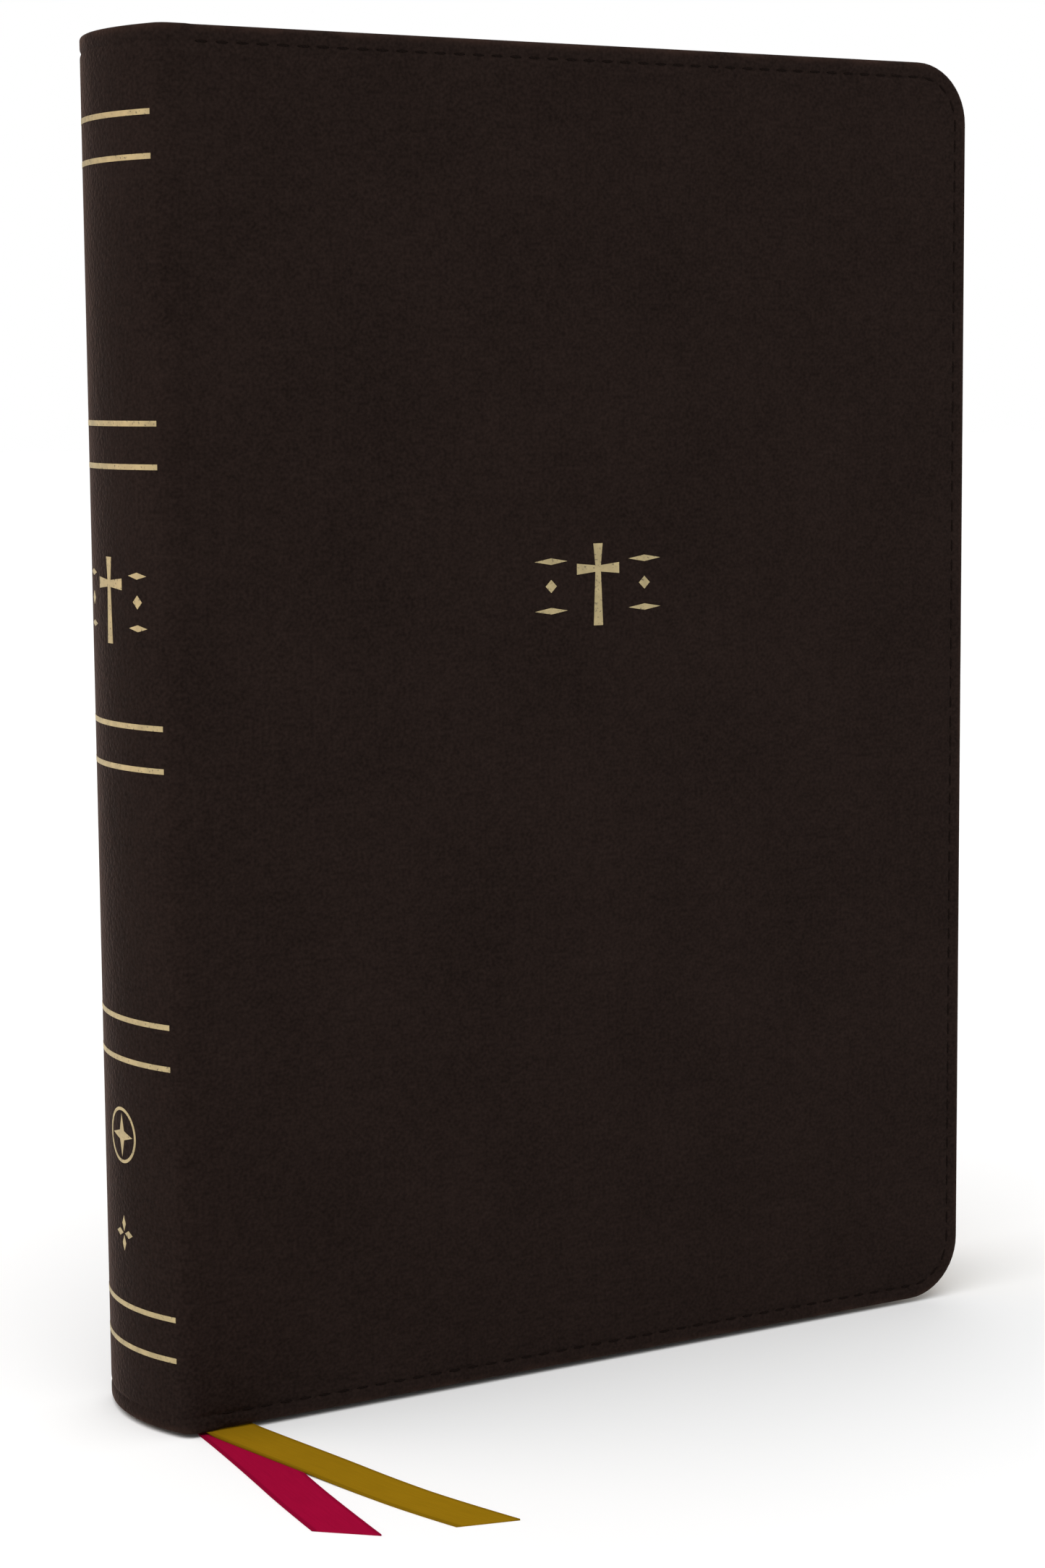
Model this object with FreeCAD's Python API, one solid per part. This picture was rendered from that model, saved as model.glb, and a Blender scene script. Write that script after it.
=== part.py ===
"""A sewn, soft-leather bible standing upright on its tail edge, with two ribbon markers.

Frame: millimetres, +Z up, the front cover faces -Y, the spine faces -X and the fore-edge +X.
The origin is under the middle of the closed case, on the surface that the book stands on.
"""
import FreeCAD, Part
import math
import os

from FreeCAD import Vector

# --- Case: overall sizes ---------------------------------------------------------------------
case_height = 254.0          # head to tail of the covers
cover_width = 177.8          # spine shoulder to fore-edge
case_thickness = 34.0        # outer face to outer face
spine_bulge = 5.3            # how far the rounded spine stands out past the shoulders
spine_radius = 36.0          # outer radius of the rounded spine
shoulder_radius = 3.5        # soft corner between the spine and each cover
cover_corner_radius = 12.0   # the two fore-edge corners of each cover
ribbon_room = 0.8            # height of the case above the table, taken up by the two ribbons

# --- Case: materials from the outside in -----------------------------------------------------
leather_thickness = 0.8
board_thickness = 1.4
turn_in_thickness = 0.5      # the leather is pared where it is turned in over the board
turn_in_width = 14.0
pastedown_thickness = 0.2
pastedown_margin = 5.0       # leather left showing round the pastedown
joint_width = 5.0            # bare leather between the hinge line and the board
hinge_gap = 0.15             # slit between the spine leather and each cover's leather
inlay_thickness = 0.6        # card that stiffens the spine leather
lining_thickness = 0.3       # kraft paper on the back of the leaves
mull_thickness = 0.3         # open cloth under the lining
inlay_edge_inset = 1.1       # how far the inlay stops short of each shoulder

# --- Leaves ----------------------------------------------------------------------------------
square = 4.0                 # how far the covers stand past the leaves at head, tail, fore-edge
leaf_clearance = 0.1         # air between a cover's pastedown and the first leaf
page_corner_radius = 8.0
gathering_count = 12
front_turning = (            # name, stack thickness, gutter line measured from the hinge line
    ("front_flyleaf", 0.2, 13.0),
    ("title_leaves", 0.8, 13.9),
    ("preface_leaves", 1.2, 15.6),
    ("opening_leaves", 1.6, 17.9),
)
back_turning = (
    ("back_flyleaf", 0.2, 13.0),
    ("map_leaves", 1.2, 13.9),
)
gutter_gap = 0.05            # slit between a turning stack and its bound margin

# --- Sewing and bands ------------------------------------------------------------------------
sewing_stations = 6
sewing_end_inset = 14.0      # first and last station from the head and tail of the leaves
thread_height = 0.8
thread_edge_inset = 0.6      # how far the threads and the mull stop short of the outer leaves
lining_edge_inset = 1.2      # the same for the lining and the bands
mull_end_inset = 22.0
band_diameter = 2.2          # bead of the headband and of the tailband

# --- Ribbon markers --------------------------------------------------------------------------
ribbon_width = 9.5
ribbon_thickness = 0.25
red_gathering = 3            # gatherings in front of the red ribbon
gold_gathering = 2           # gatherings in front of the gold ribbon
red_cut_slant = 7.5          # how much shorter the left edge of each slanted end is
gold_cut_slant = 6.0
red_exit_x = -78.95          # where each ribbon leaves the tail of the leaves
gold_exit_x = -80.05
exit_drop = 0.1              # the middle of a free tail starts this far under the leaves
# Each free tail after its exit, as x, distance in front of the cover's outer face, and height:
# it bends flat behind the front cover, passes under its lower edge and lies on the table.
red_tail = (
    (-79.35, -6.0, 0.14), (-80.50, 7.0, 0.14), (-82.35, 24.0, 0.14),
    (-84.75, 43.0, 0.14), (-86.40, 62.8, 0.14),
)
gold_tail = (
    (-79.25, -4.7, 0.44), (-77.10, 8.0, 0.44), (-73.50, 27.0, 0.44),
    (-70.60, 41.2, 0.14), (-67.40, 55.5, 0.14), (-62.60, 70.6, 0.14),
)
arc_share = 0.45             # part of the shorter run that an arc may use
straight_turn = 1e-6         # runs that turn less than this, in radians, are one straight run

# --- Gold foil and stitching -----------------------------------------------------------------
foil_thickness = 0.08
rule_height = 1.0
rule_pair_gap = 7.7
rule_pair_count = 5
rule_pair_pitch = 54.35
rules_centre = 126.25        # middle of the five pairs above the tail of the case
rule_end_inset = 2.2         # the rules stop this far behind each cover's outer face
ornament_height = 15.7
ornament_cross_width = 9.6
ornament_bar = 1.25
ornament_flare = 2.1         # width of the cross's arms at their ends
ornament_bar_share = 0.3     # level of the tapered bars, as part of the ornament's height
front_ornament_half_width = 14.25
spine_ornament_half_width = 12.0
ornament_centre = 152.6      # above the tail of the case
medallion_radius = 5.25
medallion_ring = 0.6
medallion_centre = 53.6
star_points = 4
star_waist_share = 0.3       # radius between the star's points, as part of its radius
mark_radius = 3.7
mark_centre = 35.0
petal_waist_share = 0.2      # half width of a petal, as part of the mark's radius
stitch_inset = 3.0
stitch_length = 2.6
stitch_pitch = 4.0
stitch_width = 0.5
stitch_height = 0.2
crease_width = 0.8           # pressed line that the stitches lie in
crease_depth = 0.3

# --- Places worked out from the sizes --------------------------------------------------------
half_thickness = case_thickness / 2
fore_edge_x = (cover_width + spine_bulge) / 2
spine_back_x = -fore_edge_x
spine_centre_x = spine_back_x + spine_radius
shoulder_y = half_thickness - shoulder_radius
hinge_x = spine_centre_x - math.sqrt((spine_radius - shoulder_radius) ** 2 - shoulder_y ** 2)
shoulder_angle = math.degrees(math.asin(shoulder_y / (spine_radius - shoulder_radius)))
case_bottom = ribbon_room
case_top = case_bottom + case_height
leaf_bottom = case_bottom + square
leaf_top = case_top - square
cover_body = leather_thickness + board_thickness
cover_total = cover_body + pastedown_thickness
board_x = hinge_x + joint_width
lining_outer = spine_radius - leather_thickness - inlay_thickness
mull_outer = lining_outer - lining_thickness
leaf_back_radius = mull_outer - mull_thickness
leaf_front_y = -(half_thickness - cover_total - leaf_clearance)
gatherings_front_y = leaf_front_y + sum(stack[1] for stack in front_turning)
gatherings_back_y = -leaf_front_y - sum(stack[1] for stack in back_turning)
gathering_thickness = (gatherings_back_y - gatherings_front_y) / gathering_count


# --- Small helpers ---------------------------------------------------------------------------
def outline_face(left, right, bottom, top, radius):
    """Upright face in the plane y = 0, with its two right-hand corners rounded."""
    turn = radius * (1 - math.sqrt(0.5))
    low_start, low_end = Vector(right - radius, 0, bottom), Vector(right, 0, bottom + radius)
    high_start, high_end = Vector(right, 0, top - radius), Vector(right - radius, 0, top)
    edges = [
        Part.LineSegment(Vector(left, 0, bottom), low_start).toShape(),
        Part.Arc(low_start, Vector(right - turn, 0, bottom + turn), low_end).toShape(),
        Part.LineSegment(low_end, high_start).toShape(),
        Part.Arc(high_start, Vector(right - turn, 0, top - turn), high_end).toShape(),
        Part.LineSegment(high_end, Vector(left, 0, top)).toShape(),
        Part.LineSegment(Vector(left, 0, top), Vector(left, 0, bottom)).toShape(),
    ]
    return Part.Face(Part.Wire(edges))


def cover_slab(left, inset, depth_from, depth_to):
    """Slab of the front cover, measured inwards from its outer face and from its edges."""
    radius = max(cover_corner_radius - inset, stitch_width)
    face = outline_face(left, fore_edge_x - inset, case_bottom + inset, case_top - inset, radius)
    face.translate(Vector(0, -half_thickness + depth_from, 0))
    return face.extrude(Vector(0, depth_to - depth_from, 0))


def mirrored(shape):
    """The same piece on the back cover's side."""
    return shape.mirror(Vector(0, 0, 0), Vector(0, 1, 0))


def polar(radius, degrees):
    """Point round the spine's centre line; 0 degrees is the middle of the spine."""
    angle = math.radians(degrees)
    return Vector(spine_centre_x - radius * math.cos(angle), radius * math.sin(angle), 0)


def inset_angle(inset, radius):
    """Angle that a length takes up along an arc, in degrees."""
    return math.degrees(inset / radius)


def spine_sector(inner, outer, half_angle, bottom, top):
    """Curved strip that follows the spine between two radii."""
    edges = [
        Part.Arc(polar(outer, -half_angle), polar(outer, 0), polar(outer, half_angle)).toShape(),
        Part.LineSegment(polar(outer, half_angle), polar(inner, half_angle)).toShape(),
        Part.Arc(polar(inner, half_angle), polar(inner, 0), polar(inner, -half_angle)).toShape(),
        Part.LineSegment(polar(inner, -half_angle), polar(outer, -half_angle)).toShape(),
    ]
    face = Part.Face(Part.Wire(edges))
    face.translate(Vector(0, 0, bottom))
    return face.extrude(Vector(0, 0, top - bottom))


def polygon_face(points):
    """Flat face through points in order."""
    return Part.Face(Part.makePolygon(list(points) + [points[0]]))


# --- Case ------------------------------------------------------------------------------------
def shoulder_curve(side, depth):
    """Arc over one shoulder, from the cover's flat to the spine, a depth under the surface."""
    centre = Vector(hinge_x, side * shoulder_y, 0)
    radius = shoulder_radius - depth
    points = []
    for degrees in (90.0, (90.0 + shoulder_angle) / 2, shoulder_angle):
        angle = math.radians(degrees)
        points.append(centre + Vector(-radius * math.cos(angle), side * radius * math.sin(angle), 0))
    return points


def make_spine_leather():
    """Leather over the rounded spine and both shoulders, as far as the hinge lines."""
    edges = []
    ends = []
    for depth in (0.0, leather_thickness):
        front = shoulder_curve(-1, depth)
        back = shoulder_curve(1, depth)
        middle = Vector(spine_back_x + depth, 0, 0)
        edges.append(Part.Arc(*front).toShape())
        edges.append(Part.Arc(front[2], middle, back[2]).toShape())
        edges.append(Part.Arc(*back).toShape())
        ends.append((front[0], back[0]))
    edges.append(Part.LineSegment(ends[0][0], ends[1][0]).toShape())
    edges.append(Part.LineSegment(ends[0][1], ends[1][1]).toShape())
    face = Part.Face(Part.Wire(Part.__sortEdges__(edges)))
    face.translate(Vector(0, 0, case_bottom))
    return face.extrude(Vector(0, 0, case_height))


def make_cover_leather():
    """Cover leather, wrapped round the board's three free edges and turned in."""
    start = hinge_x + hinge_gap
    inner = cover_body - turn_in_thickness
    wrap = cover_slab(start, 0, 0, cover_body)
    joint = Part.makeBox(board_x - start, board_thickness, case_height,
                         Vector(start, -half_thickness + leather_thickness, case_bottom))
    pocket = cover_slab(board_x, leather_thickness, leather_thickness, inner)
    window = cover_slab(board_x, turn_in_width, inner, cover_body)
    crease = cover_slab(hinge_x, stitch_inset - crease_width / 2, 0, crease_depth)
    inside_crease = cover_slab(hinge_x, stitch_inset + crease_width / 2, 0, crease_depth)
    return wrap.cut([joint, pocket, window, crease.cut(inside_crease)])


def make_board():
    """Board pressed down to the turn-ins along its free edges."""
    inner = cover_body - turn_in_thickness
    full = cover_slab(board_x, leather_thickness, leather_thickness, inner)
    raised = cover_slab(board_x, turn_in_width, inner, cover_body)
    return full.fuse(raised).removeSplitter()


def make_pastedown():
    """Endpaper pasted inside the cover."""
    return cover_slab(board_x, pastedown_margin, cover_body, cover_total)


def stitch_places():
    """Middle of each stitch (x, z) and its direction in degrees, round the cover's edge."""
    radius = cover_corner_radius - stitch_inset
    right, low, high = fore_edge_x - stitch_inset, case_bottom + stitch_inset, case_top - stitch_inset
    side = right - radius - (hinge_x + stitch_inset)
    rise = high - low - 2 * radius
    quarter = math.pi * radius / 2
    total = 2 * side + 2 * quarter + rise
    count = int(total / stitch_pitch)
    for index in range(count):
        along = (index + 0.5) * total / count
        if along < side:
            yield hinge_x + stitch_inset + along, low, 0.0
        elif along < side + quarter:
            angle = (along - side) / radius
            yield right - radius + radius * math.sin(angle), low + radius - radius * math.cos(angle), \
                math.degrees(angle)
        elif along < side + quarter + rise:
            yield right, low + radius + along - side - quarter, 90.0
        elif along < total - side:
            angle = (along - side - quarter - rise) / radius
            yield right - radius + radius * math.cos(angle), \
                high - radius + radius * math.sin(angle), 90.0 + math.degrees(angle)
        else:
            yield hinge_x + stitch_inset + total - along, high, 180.0


def make_stitching():
    """Edge stitches lying in the crease of the cover's outer face."""
    stitches = []
    for x, z, degrees in stitch_places():
        stitch = Part.makeBox(stitch_length, stitch_height, stitch_width,
                              Vector(-stitch_length / 2, 0, -stitch_width / 2))
        stitch.rotate(Vector(0, 0, 0), Vector(0, -1, 0), degrees)
        stitch.translate(Vector(x, -half_thickness + crease_depth - stitch_height, z))
        stitches.append(stitch)
    return Part.makeCompound(stitches)


def make_spine_inlay():
    """Card glued inside the spine leather."""
    half_angle = shoulder_angle - inset_angle(inlay_edge_inset, lining_outer)
    return spine_sector(lining_outer, spine_radius - leather_thickness, half_angle,
                        case_bottom + leather_thickness, case_top - leather_thickness)


# --- Leaves ----------------------------------------------------------------------------------
def back_x(y):
    """Where the backs of the leaves lie at depth y."""
    return spine_centre_x - math.sqrt(leaf_back_radius ** 2 - y ** 2)


leaf_width = fore_edge_x - square - back_x(leaf_front_y)


def front_x(y):
    """Where the fore-edge of the leaves lies at depth y."""
    return back_x(y) + leaf_width


def side_edge(place, start_y, end_y):
    """Left or right end of a stack's section: a curve of the block, or a straight line."""
    if callable(place):
        middle_y = (start_y + end_y) / 2
        return Part.Arc(Vector(place(start_y), start_y, 0), Vector(place(middle_y), middle_y, 0),
                        Vector(place(end_y), end_y, 0)).toShape()
    return Part.LineSegment(Vector(place, start_y, 0), Vector(place, end_y, 0)).toShape()


def make_stack(low_y, high_y, left, right):
    """Stack of leaves between two depths; left and right are back_x, front_x or a plane."""
    start_x = [left(y) if callable(left) else left for y in (low_y, high_y)]
    end_x = [right(y) if callable(right) else right for y in (low_y, high_y)]
    edges = [
        Part.LineSegment(Vector(start_x[0], low_y, 0), Vector(end_x[0], low_y, 0)).toShape(),
        side_edge(right, low_y, high_y),
        Part.LineSegment(Vector(end_x[1], high_y, 0), Vector(start_x[1], high_y, 0)).toShape(),
        side_edge(left, high_y, low_y),
    ]
    face = Part.Face(Part.Wire(edges))
    face.translate(Vector(0, 0, leaf_bottom))
    stack = face.extrude(Vector(0, 0, leaf_top - leaf_bottom))
    if right is not front_x:
        return stack
    page = outline_face(start_x[0] - spine_radius, max(end_x), leaf_bottom, leaf_top,
                        page_corner_radius)
    page.translate(Vector(0, low_y, 0))
    return stack.common(page.extrude(Vector(0, high_y - low_y, 0))).Solids[0]


def ribbon_y(gatherings_in_front):
    """Depth of a ribbon shut behind so many gatherings."""
    return gatherings_front_y + gatherings_in_front * gathering_thickness


def held_ribbon(middle_x, gatherings_in_front):
    """Upper part of a ribbon, shut between two gatherings from the head to the tail."""
    y = ribbon_y(gatherings_in_front)
    return Part.makeBox(ribbon_width, ribbon_thickness, leaf_top - leaf_bottom,
                        Vector(middle_x - ribbon_width / 2, y - ribbon_thickness / 2, leaf_bottom))


def make_leaves():
    """All leaves as named solids: gatherings, bound margins and turning stacks."""
    solids = {}
    for index in range(gathering_count):
        low_y = gatherings_front_y + index * gathering_thickness
        name = "gathering_%02d" % (index + 1)
        solids[name] = make_stack(low_y, low_y + gathering_thickness, back_x, front_x)
    for name, middle_x, before in (("red_ribbon_held", red_exit_x, red_gathering),
                                   ("gold_ribbon_held", gold_exit_x, gold_gathering)):
        strip = held_ribbon(middle_x, before)
        for index in (before, before + 1):
            neighbour = "gathering_%02d" % index
            solids[neighbour] = solids[neighbour].cut(strip)
        solids[name] = strip
    for margin_name, stacks, side in (("front_bound_margins", front_turning, -1),
                                      ("back_bound_margins", back_turning, 1)):
        margins = []
        y = -leaf_front_y
        for name, thickness, gutter in stacks:
            edges_y = sorted((side * y, side * (y - thickness)))
            gutter_x = hinge_x + gutter
            solids[name] = make_stack(edges_y[0], edges_y[1], gutter_x + gutter_gap, front_x)
            margins.append(make_stack(edges_y[0], edges_y[1], back_x, gutter_x))
            y -= thickness
        solids[margin_name] = margins[0].multiFuse(margins[1:]).removeSplitter()
    return solids


# --- Spine linings, sewing and bands ---------------------------------------------------------
def make_sewing():
    """Thread that crosses the backs of the gatherings at each sewing station."""
    half_angle = math.degrees(math.asin(-gatherings_front_y / leaf_back_radius))
    half_angle -= inset_angle(thread_edge_inset, leaf_back_radius)
    first = leaf_bottom + sewing_end_inset
    pitch = (leaf_top - leaf_bottom - 2 * sewing_end_inset) / (sewing_stations - 1)
    threads = []
    for station in range(sewing_stations):
        z = first + station * pitch
        threads.append(spine_sector(leaf_back_radius, mull_outer, half_angle,
                                    z - thread_height / 2, z + thread_height / 2))
    return Part.makeCompound(threads)


def leaf_half_angle(inset):
    """Angle taken up by the backs of the leaves to each side, less an inset."""
    whole = math.degrees(math.asin(-leaf_front_y / leaf_back_radius))
    return whole - inset_angle(inset, leaf_back_radius)


def make_mull(sewing):
    """Cloth glued over the sewing."""
    cloth = spine_sector(leaf_back_radius, mull_outer, leaf_half_angle(thread_edge_inset),
                         leaf_bottom + mull_end_inset, leaf_top - mull_end_inset)
    return cloth.cut(sewing)


def make_lining():
    """Kraft paper over the cloth, as tall as the bands."""
    return spine_sector(mull_outer, lining_outer, leaf_half_angle(lining_edge_inset),
                        leaf_bottom - band_diameter, leaf_top + band_diameter)


def make_band(middle_z):
    """Bead of a headband or tailband, along the backs of the leaves."""
    half_angle = leaf_half_angle(lining_edge_inset)
    bead = Part.makeTorus(mull_outer - band_diameter / 2, band_diameter / 2,
                          Vector(0, 0, 0), Vector(0, 0, 1), 0, 360, 2 * half_angle)
    bead.rotate(Vector(0, 0, 0), Vector(0, 0, 1), 180 - half_angle)
    bead.translate(Vector(spine_centre_x, 0, middle_z))
    return bead


# --- Ribbons ---------------------------------------------------------------------------------
def turn_between(first, second):
    """Signed turn from one direction to the next, in radians."""
    return math.atan2(first[0] * second[1] - first[1] * second[0],
                      first[0] * second[0] + first[1] * second[1])


def band_face(points, width, slant=0.0, label=None):
    """Flat band of a given width along runs joined by tangent arcs, in the XY plane."""
    directions = []
    lengths = []
    for start, end in zip(points, points[1:]):
        length = math.hypot(end[0] - start[0], end[1] - start[1])
        lengths.append(length)
        directions.append(((end[0] - start[0]) / length, (end[1] - start[1]) / length))

    def shifted(point, direction, along, across):
        return Vector(point[0] + direction[0] * along - direction[1] * across,
                      point[1] + direction[1] * along + direction[0] * across, 0)

    sides = []
    for across in (width / 2, -width / 2):
        edges = []
        previous = shifted(points[0], directions[0], 0, across)
        for index in range(1, len(points) - 1):
            turn = turn_between(directions[index - 1], directions[index])
            if abs(turn) < straight_turn:
                continue
            reach = arc_share * min(lengths[index - 1], lengths[index])
            radius = reach / math.tan(abs(turn) / 2)
            side = 1 if turn > 0 else -1
            before, after = directions[index - 1], directions[index]
            start = shifted(points[index], before, -reach, across)
            end = shifted(points[index], after, reach, across)
            centre = shifted(points[index], before, -reach, side * radius)
            to_middle = ((start + end) * 0.5 - centre).normalize()
            middle = centre + to_middle * (start - centre).Length
            edges.append(Part.LineSegment(previous, start).toShape())
            edges.append(Part.Arc(start, middle, end).toShape())
            previous = end
            if label and across > 0:
                print("%s arc radius %.1f mm" % (label, radius))
        cut_back = slant if across < 0 else 0.0
        last = shifted(points[-1], directions[-1], -cut_back, across)
        edges.append(Part.LineSegment(previous, last).toShape())
        sides.append((edges, shifted(points[0], directions[0], 0, across), last))
    (left, left_start, left_end), (right, right_start, right_end) = sides
    far_end = Part.LineSegment(left_end, right_end).toShape()
    near_end = Part.LineSegment(right_start, left_start).toShape()
    return Part.Face(Part.Wire(left + [far_end] + right[::-1] + [near_end]))


def make_ribbon_tail(name, exit_x, gatherings_in_front, tail, slant):
    """Free end of a ribbon: its shape from above, cut to its shape from the side."""
    route = [(exit_x, ribbon_y(gatherings_in_front), leaf_bottom - exit_drop)]
    route += [(x, -half_thickness - out, z) for x, out, z in tail]
    plan = band_face([(x, y) for x, y, z in route], ribbon_width, slant, name + " plan")
    plan.translate(Vector(0, 0, -ribbon_room))
    column = plan.extrude(Vector(0, 0, 2 * leaf_bottom))
    side = band_face([(y, z) for x, y, z in route], ribbon_thickness, 0.0, name + " side")
    side.rotate(Vector(0, 0, 0), Vector(1, 1, 1), 120)
    middle_x = sum(point[0] for point in route) / len(route)
    reach = cover_width / 2
    side.translate(Vector(middle_x - reach, 0, 0))
    ribbon = side.extrude(Vector(2 * reach, 0, 0)).common(column)
    run = sum(math.dist(a, b) for a, b in zip(route, route[1:]))
    expected = (run - slant / 2) * ribbon_width * ribbon_thickness
    print("%s: runs %.1f mm, volume %.1f, section times length %.1f"
          % (name, run, ribbon.Volume, expected))
    return ribbon.Solids[0]


# --- Gold foil -------------------------------------------------------------------------------
def cross_points():
    """Latin cross with arms that widen a little, about the middle of its height."""
    bar, flare = ornament_bar / 2, ornament_flare / 2
    arm = ornament_cross_width / 2
    top = ornament_height / 2
    level = top - arm
    quarter = [(bar, level + bar), (flare, top), (-flare, top), (-bar, level + bar)]
    left = [(-arm, level + flare), (-arm, level - flare), (-bar, level - bar)]
    foot = [(-flare, -top), (flare, -top), (bar, level - bar)]
    right = [(arm, level - flare), (arm, level + flare)]
    return quarter + left + foot + right


def lozenge_points(u, v, half_width, half_height):
    """Lozenge about a point."""
    return [(u - half_width, v), (u, v - half_height), (u + half_width, v), (u, v + half_height)]


def ornament_outlines(half_width):
    """Cross between four tapered bars and two small lozenges."""
    start = ornament_cross_width / 2 + ornament_flare
    half_bar = (half_width - start) / 2
    level = ornament_height * ornament_bar_share
    outlines = [cross_points()]
    for side in (-1, 1):
        middle = side * (start + half_bar)
        for v in (-level, level):
            outlines.append(lozenge_points(middle, v, half_bar, ornament_bar / 2))
        outlines.append(lozenge_points(middle, 0, ornament_bar, ornament_bar))
    return outlines


def make_front_ornament():
    """Foil ornament in the middle of the front cover."""
    centre_x = (fore_edge_x + spine_back_x + spine_bulge) / 2
    solids = []
    for outline in ornament_outlines(front_ornament_half_width):
        face = polygon_face([Vector(centre_x + u, -half_thickness, case_bottom + ornament_centre + v)
                             for u, v in outline])
        solids.append(face.extrude(Vector(0, -foil_thickness, 0)))
    return Part.makeCompound(solids)


def foil_skin():
    """Thin skin over the rounded spine that foil shapes are cut from."""
    return spine_sector(spine_radius, spine_radius + foil_thickness, shoulder_angle,
                        case_bottom, case_top)


def on_spine(faces):
    """Press flat faces, drawn in the plane x = 0, on to the rounded spine."""
    skin = foil_skin()
    pieces = []
    for face in faces:
        prism = face.copy()
        prism.translate(Vector(spine_back_x - spine_bulge, 0, 0))
        pieces += prism.extrude(Vector(2 * spine_bulge + shoulder_radius, 0, 0)).common(skin).Solids
    return Part.makeCompound(pieces)


def spine_polygon(outline, middle_z):
    """Polygon in the plane x = 0, about a height on the spine."""
    return polygon_face([Vector(0, u, middle_z + v) for u, v in outline])


def make_spine_ornament():
    """The front cover's ornament, narrower, on the spine."""
    outlines = ornament_outlines(spine_ornament_half_width)
    return on_spine([spine_polygon(outline, case_bottom + ornament_centre) for outline in outlines])


def make_spine_medallion():
    """Ring round a four-pointed star."""
    middle = Vector(0, 0, case_bottom + medallion_centre)
    circles = [Part.Wire(Part.makeCircle(radius, middle, Vector(1, 0, 0)))
               for radius in (medallion_radius, medallion_radius - medallion_ring)]
    ring = Part.Face(circles[0]).cut(Part.Face(circles[1]))
    star = []
    for point in range(2 * star_points):
        radius = (medallion_radius - 2 * medallion_ring) * (star_waist_share if point % 2 else 1.0)
        angle = math.pi * point / star_points
        star.append((radius * math.sin(angle), radius * math.cos(angle)))
    return on_spine([ring.Faces[0], spine_polygon(star, middle.z)])


def make_spine_mark():
    """Four petals low on the spine."""
    faces = []
    petal, waist = mark_radius / 2, mark_radius * petal_waist_share
    for u, v in ((0, petal), (0, -petal)):
        faces.append(spine_polygon(lozenge_points(u, v, waist, petal - waist / 2),
                                   case_bottom + mark_centre))
    for u in (-petal, petal):
        faces.append(spine_polygon(lozenge_points(u, 0, petal - waist / 2, waist),
                                   case_bottom + mark_centre))
    return on_spine(faces)


def make_spine_rules():
    """Pairs of foil rules across the spine."""
    half_angle = math.degrees(math.asin((half_thickness - rule_end_inset) / spine_radius))
    middle_z = case_bottom + rules_centre
    rules = []
    for pair in range(rule_pair_count):
        pair_z = middle_z + (pair - (rule_pair_count - 1) / 2) * rule_pair_pitch
        for z in (pair_z - rule_pair_gap / 2, pair_z + rule_pair_gap / 2):
            rules.append(spine_sector(spine_radius, spine_radius + foil_thickness, half_angle,
                                      z - rule_height / 2, z + rule_height / 2))
    return Part.makeCompound(rules)


# --- Assembly --------------------------------------------------------------------------------
def make_all():
    """Every node of the bible, by name."""
    sewing = make_sewing()
    leather, board, pastedown, stitching = (make_cover_leather(), make_board(), make_pastedown(),
                                            make_stitching())
    nodes = {
        "spine_leather": make_spine_leather(),
        "spine_inlay": make_spine_inlay(),
        "spine_lining": make_lining(),
        "mull": make_mull(sewing),
        "sewing_thread": sewing,
        "headband": make_band(leaf_top + band_diameter / 2),
        "tailband": make_band(leaf_bottom - band_diameter / 2),
        "spine_rules": make_spine_rules(),
        "spine_ornament": make_spine_ornament(),
        "spine_medallion": make_spine_medallion(),
        "spine_mark": make_spine_mark(),
        "front_leather": leather,
        "front_board": board,
        "front_pastedown": pastedown,
        "front_stitching": stitching,
        "front_ornament": make_front_ornament(),
        "back_leather": mirrored(leather),
        "back_board": mirrored(board),
        "back_pastedown": mirrored(pastedown),
        "back_stitching": mirrored(stitching),
        "red_ribbon": make_ribbon_tail("red_ribbon", red_exit_x, red_gathering, red_tail,
                                       red_cut_slant),
        "gold_ribbon": make_ribbon_tail("gold_ribbon", gold_exit_x, gold_gathering, gold_tail,
                                        gold_cut_slant),
    }
    nodes.update(make_leaves())
    return nodes


os.makedirs("parts", exist_ok=True)
for node_name, node_shape in make_all().items():
    node_shape.exportStep("parts/%s.step" % node_name)
    print("%-22s solids %3d  volume %10.2f  valid %s"
          % (node_name, len(node_shape.Solids), node_shape.Volume, node_shape.isValid()))
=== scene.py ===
"""Looks of a sewn, soft-leather bible: case, gilt leaves, bands, foil and ribbon markers."""

import math

import bmesh
import bpy
from bpy.props import FloatProperty, FloatVectorProperty, IntProperty, PointerProperty
from mathutils import Matrix, Vector


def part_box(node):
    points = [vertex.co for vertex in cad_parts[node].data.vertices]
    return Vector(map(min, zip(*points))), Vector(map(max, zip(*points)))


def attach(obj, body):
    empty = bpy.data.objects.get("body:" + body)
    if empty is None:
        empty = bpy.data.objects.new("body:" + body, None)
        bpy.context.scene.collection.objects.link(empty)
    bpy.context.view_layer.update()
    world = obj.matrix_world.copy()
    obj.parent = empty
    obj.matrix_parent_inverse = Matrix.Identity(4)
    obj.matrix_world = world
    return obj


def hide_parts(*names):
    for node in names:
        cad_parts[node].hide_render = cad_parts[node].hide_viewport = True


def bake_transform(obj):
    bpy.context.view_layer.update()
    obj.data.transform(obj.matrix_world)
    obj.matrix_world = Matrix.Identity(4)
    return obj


bl_info = {
    "name": "Sewn Bible",
    "version": (1, 0, 0),
    "blender": (4, 5, 0),
    "location": "3D View > Sidebar > Bible",
    "description": "A soft-leather bible with gilt leaves, foil tooling and two ribbon markers",
    "category": "Object",
}

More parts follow.
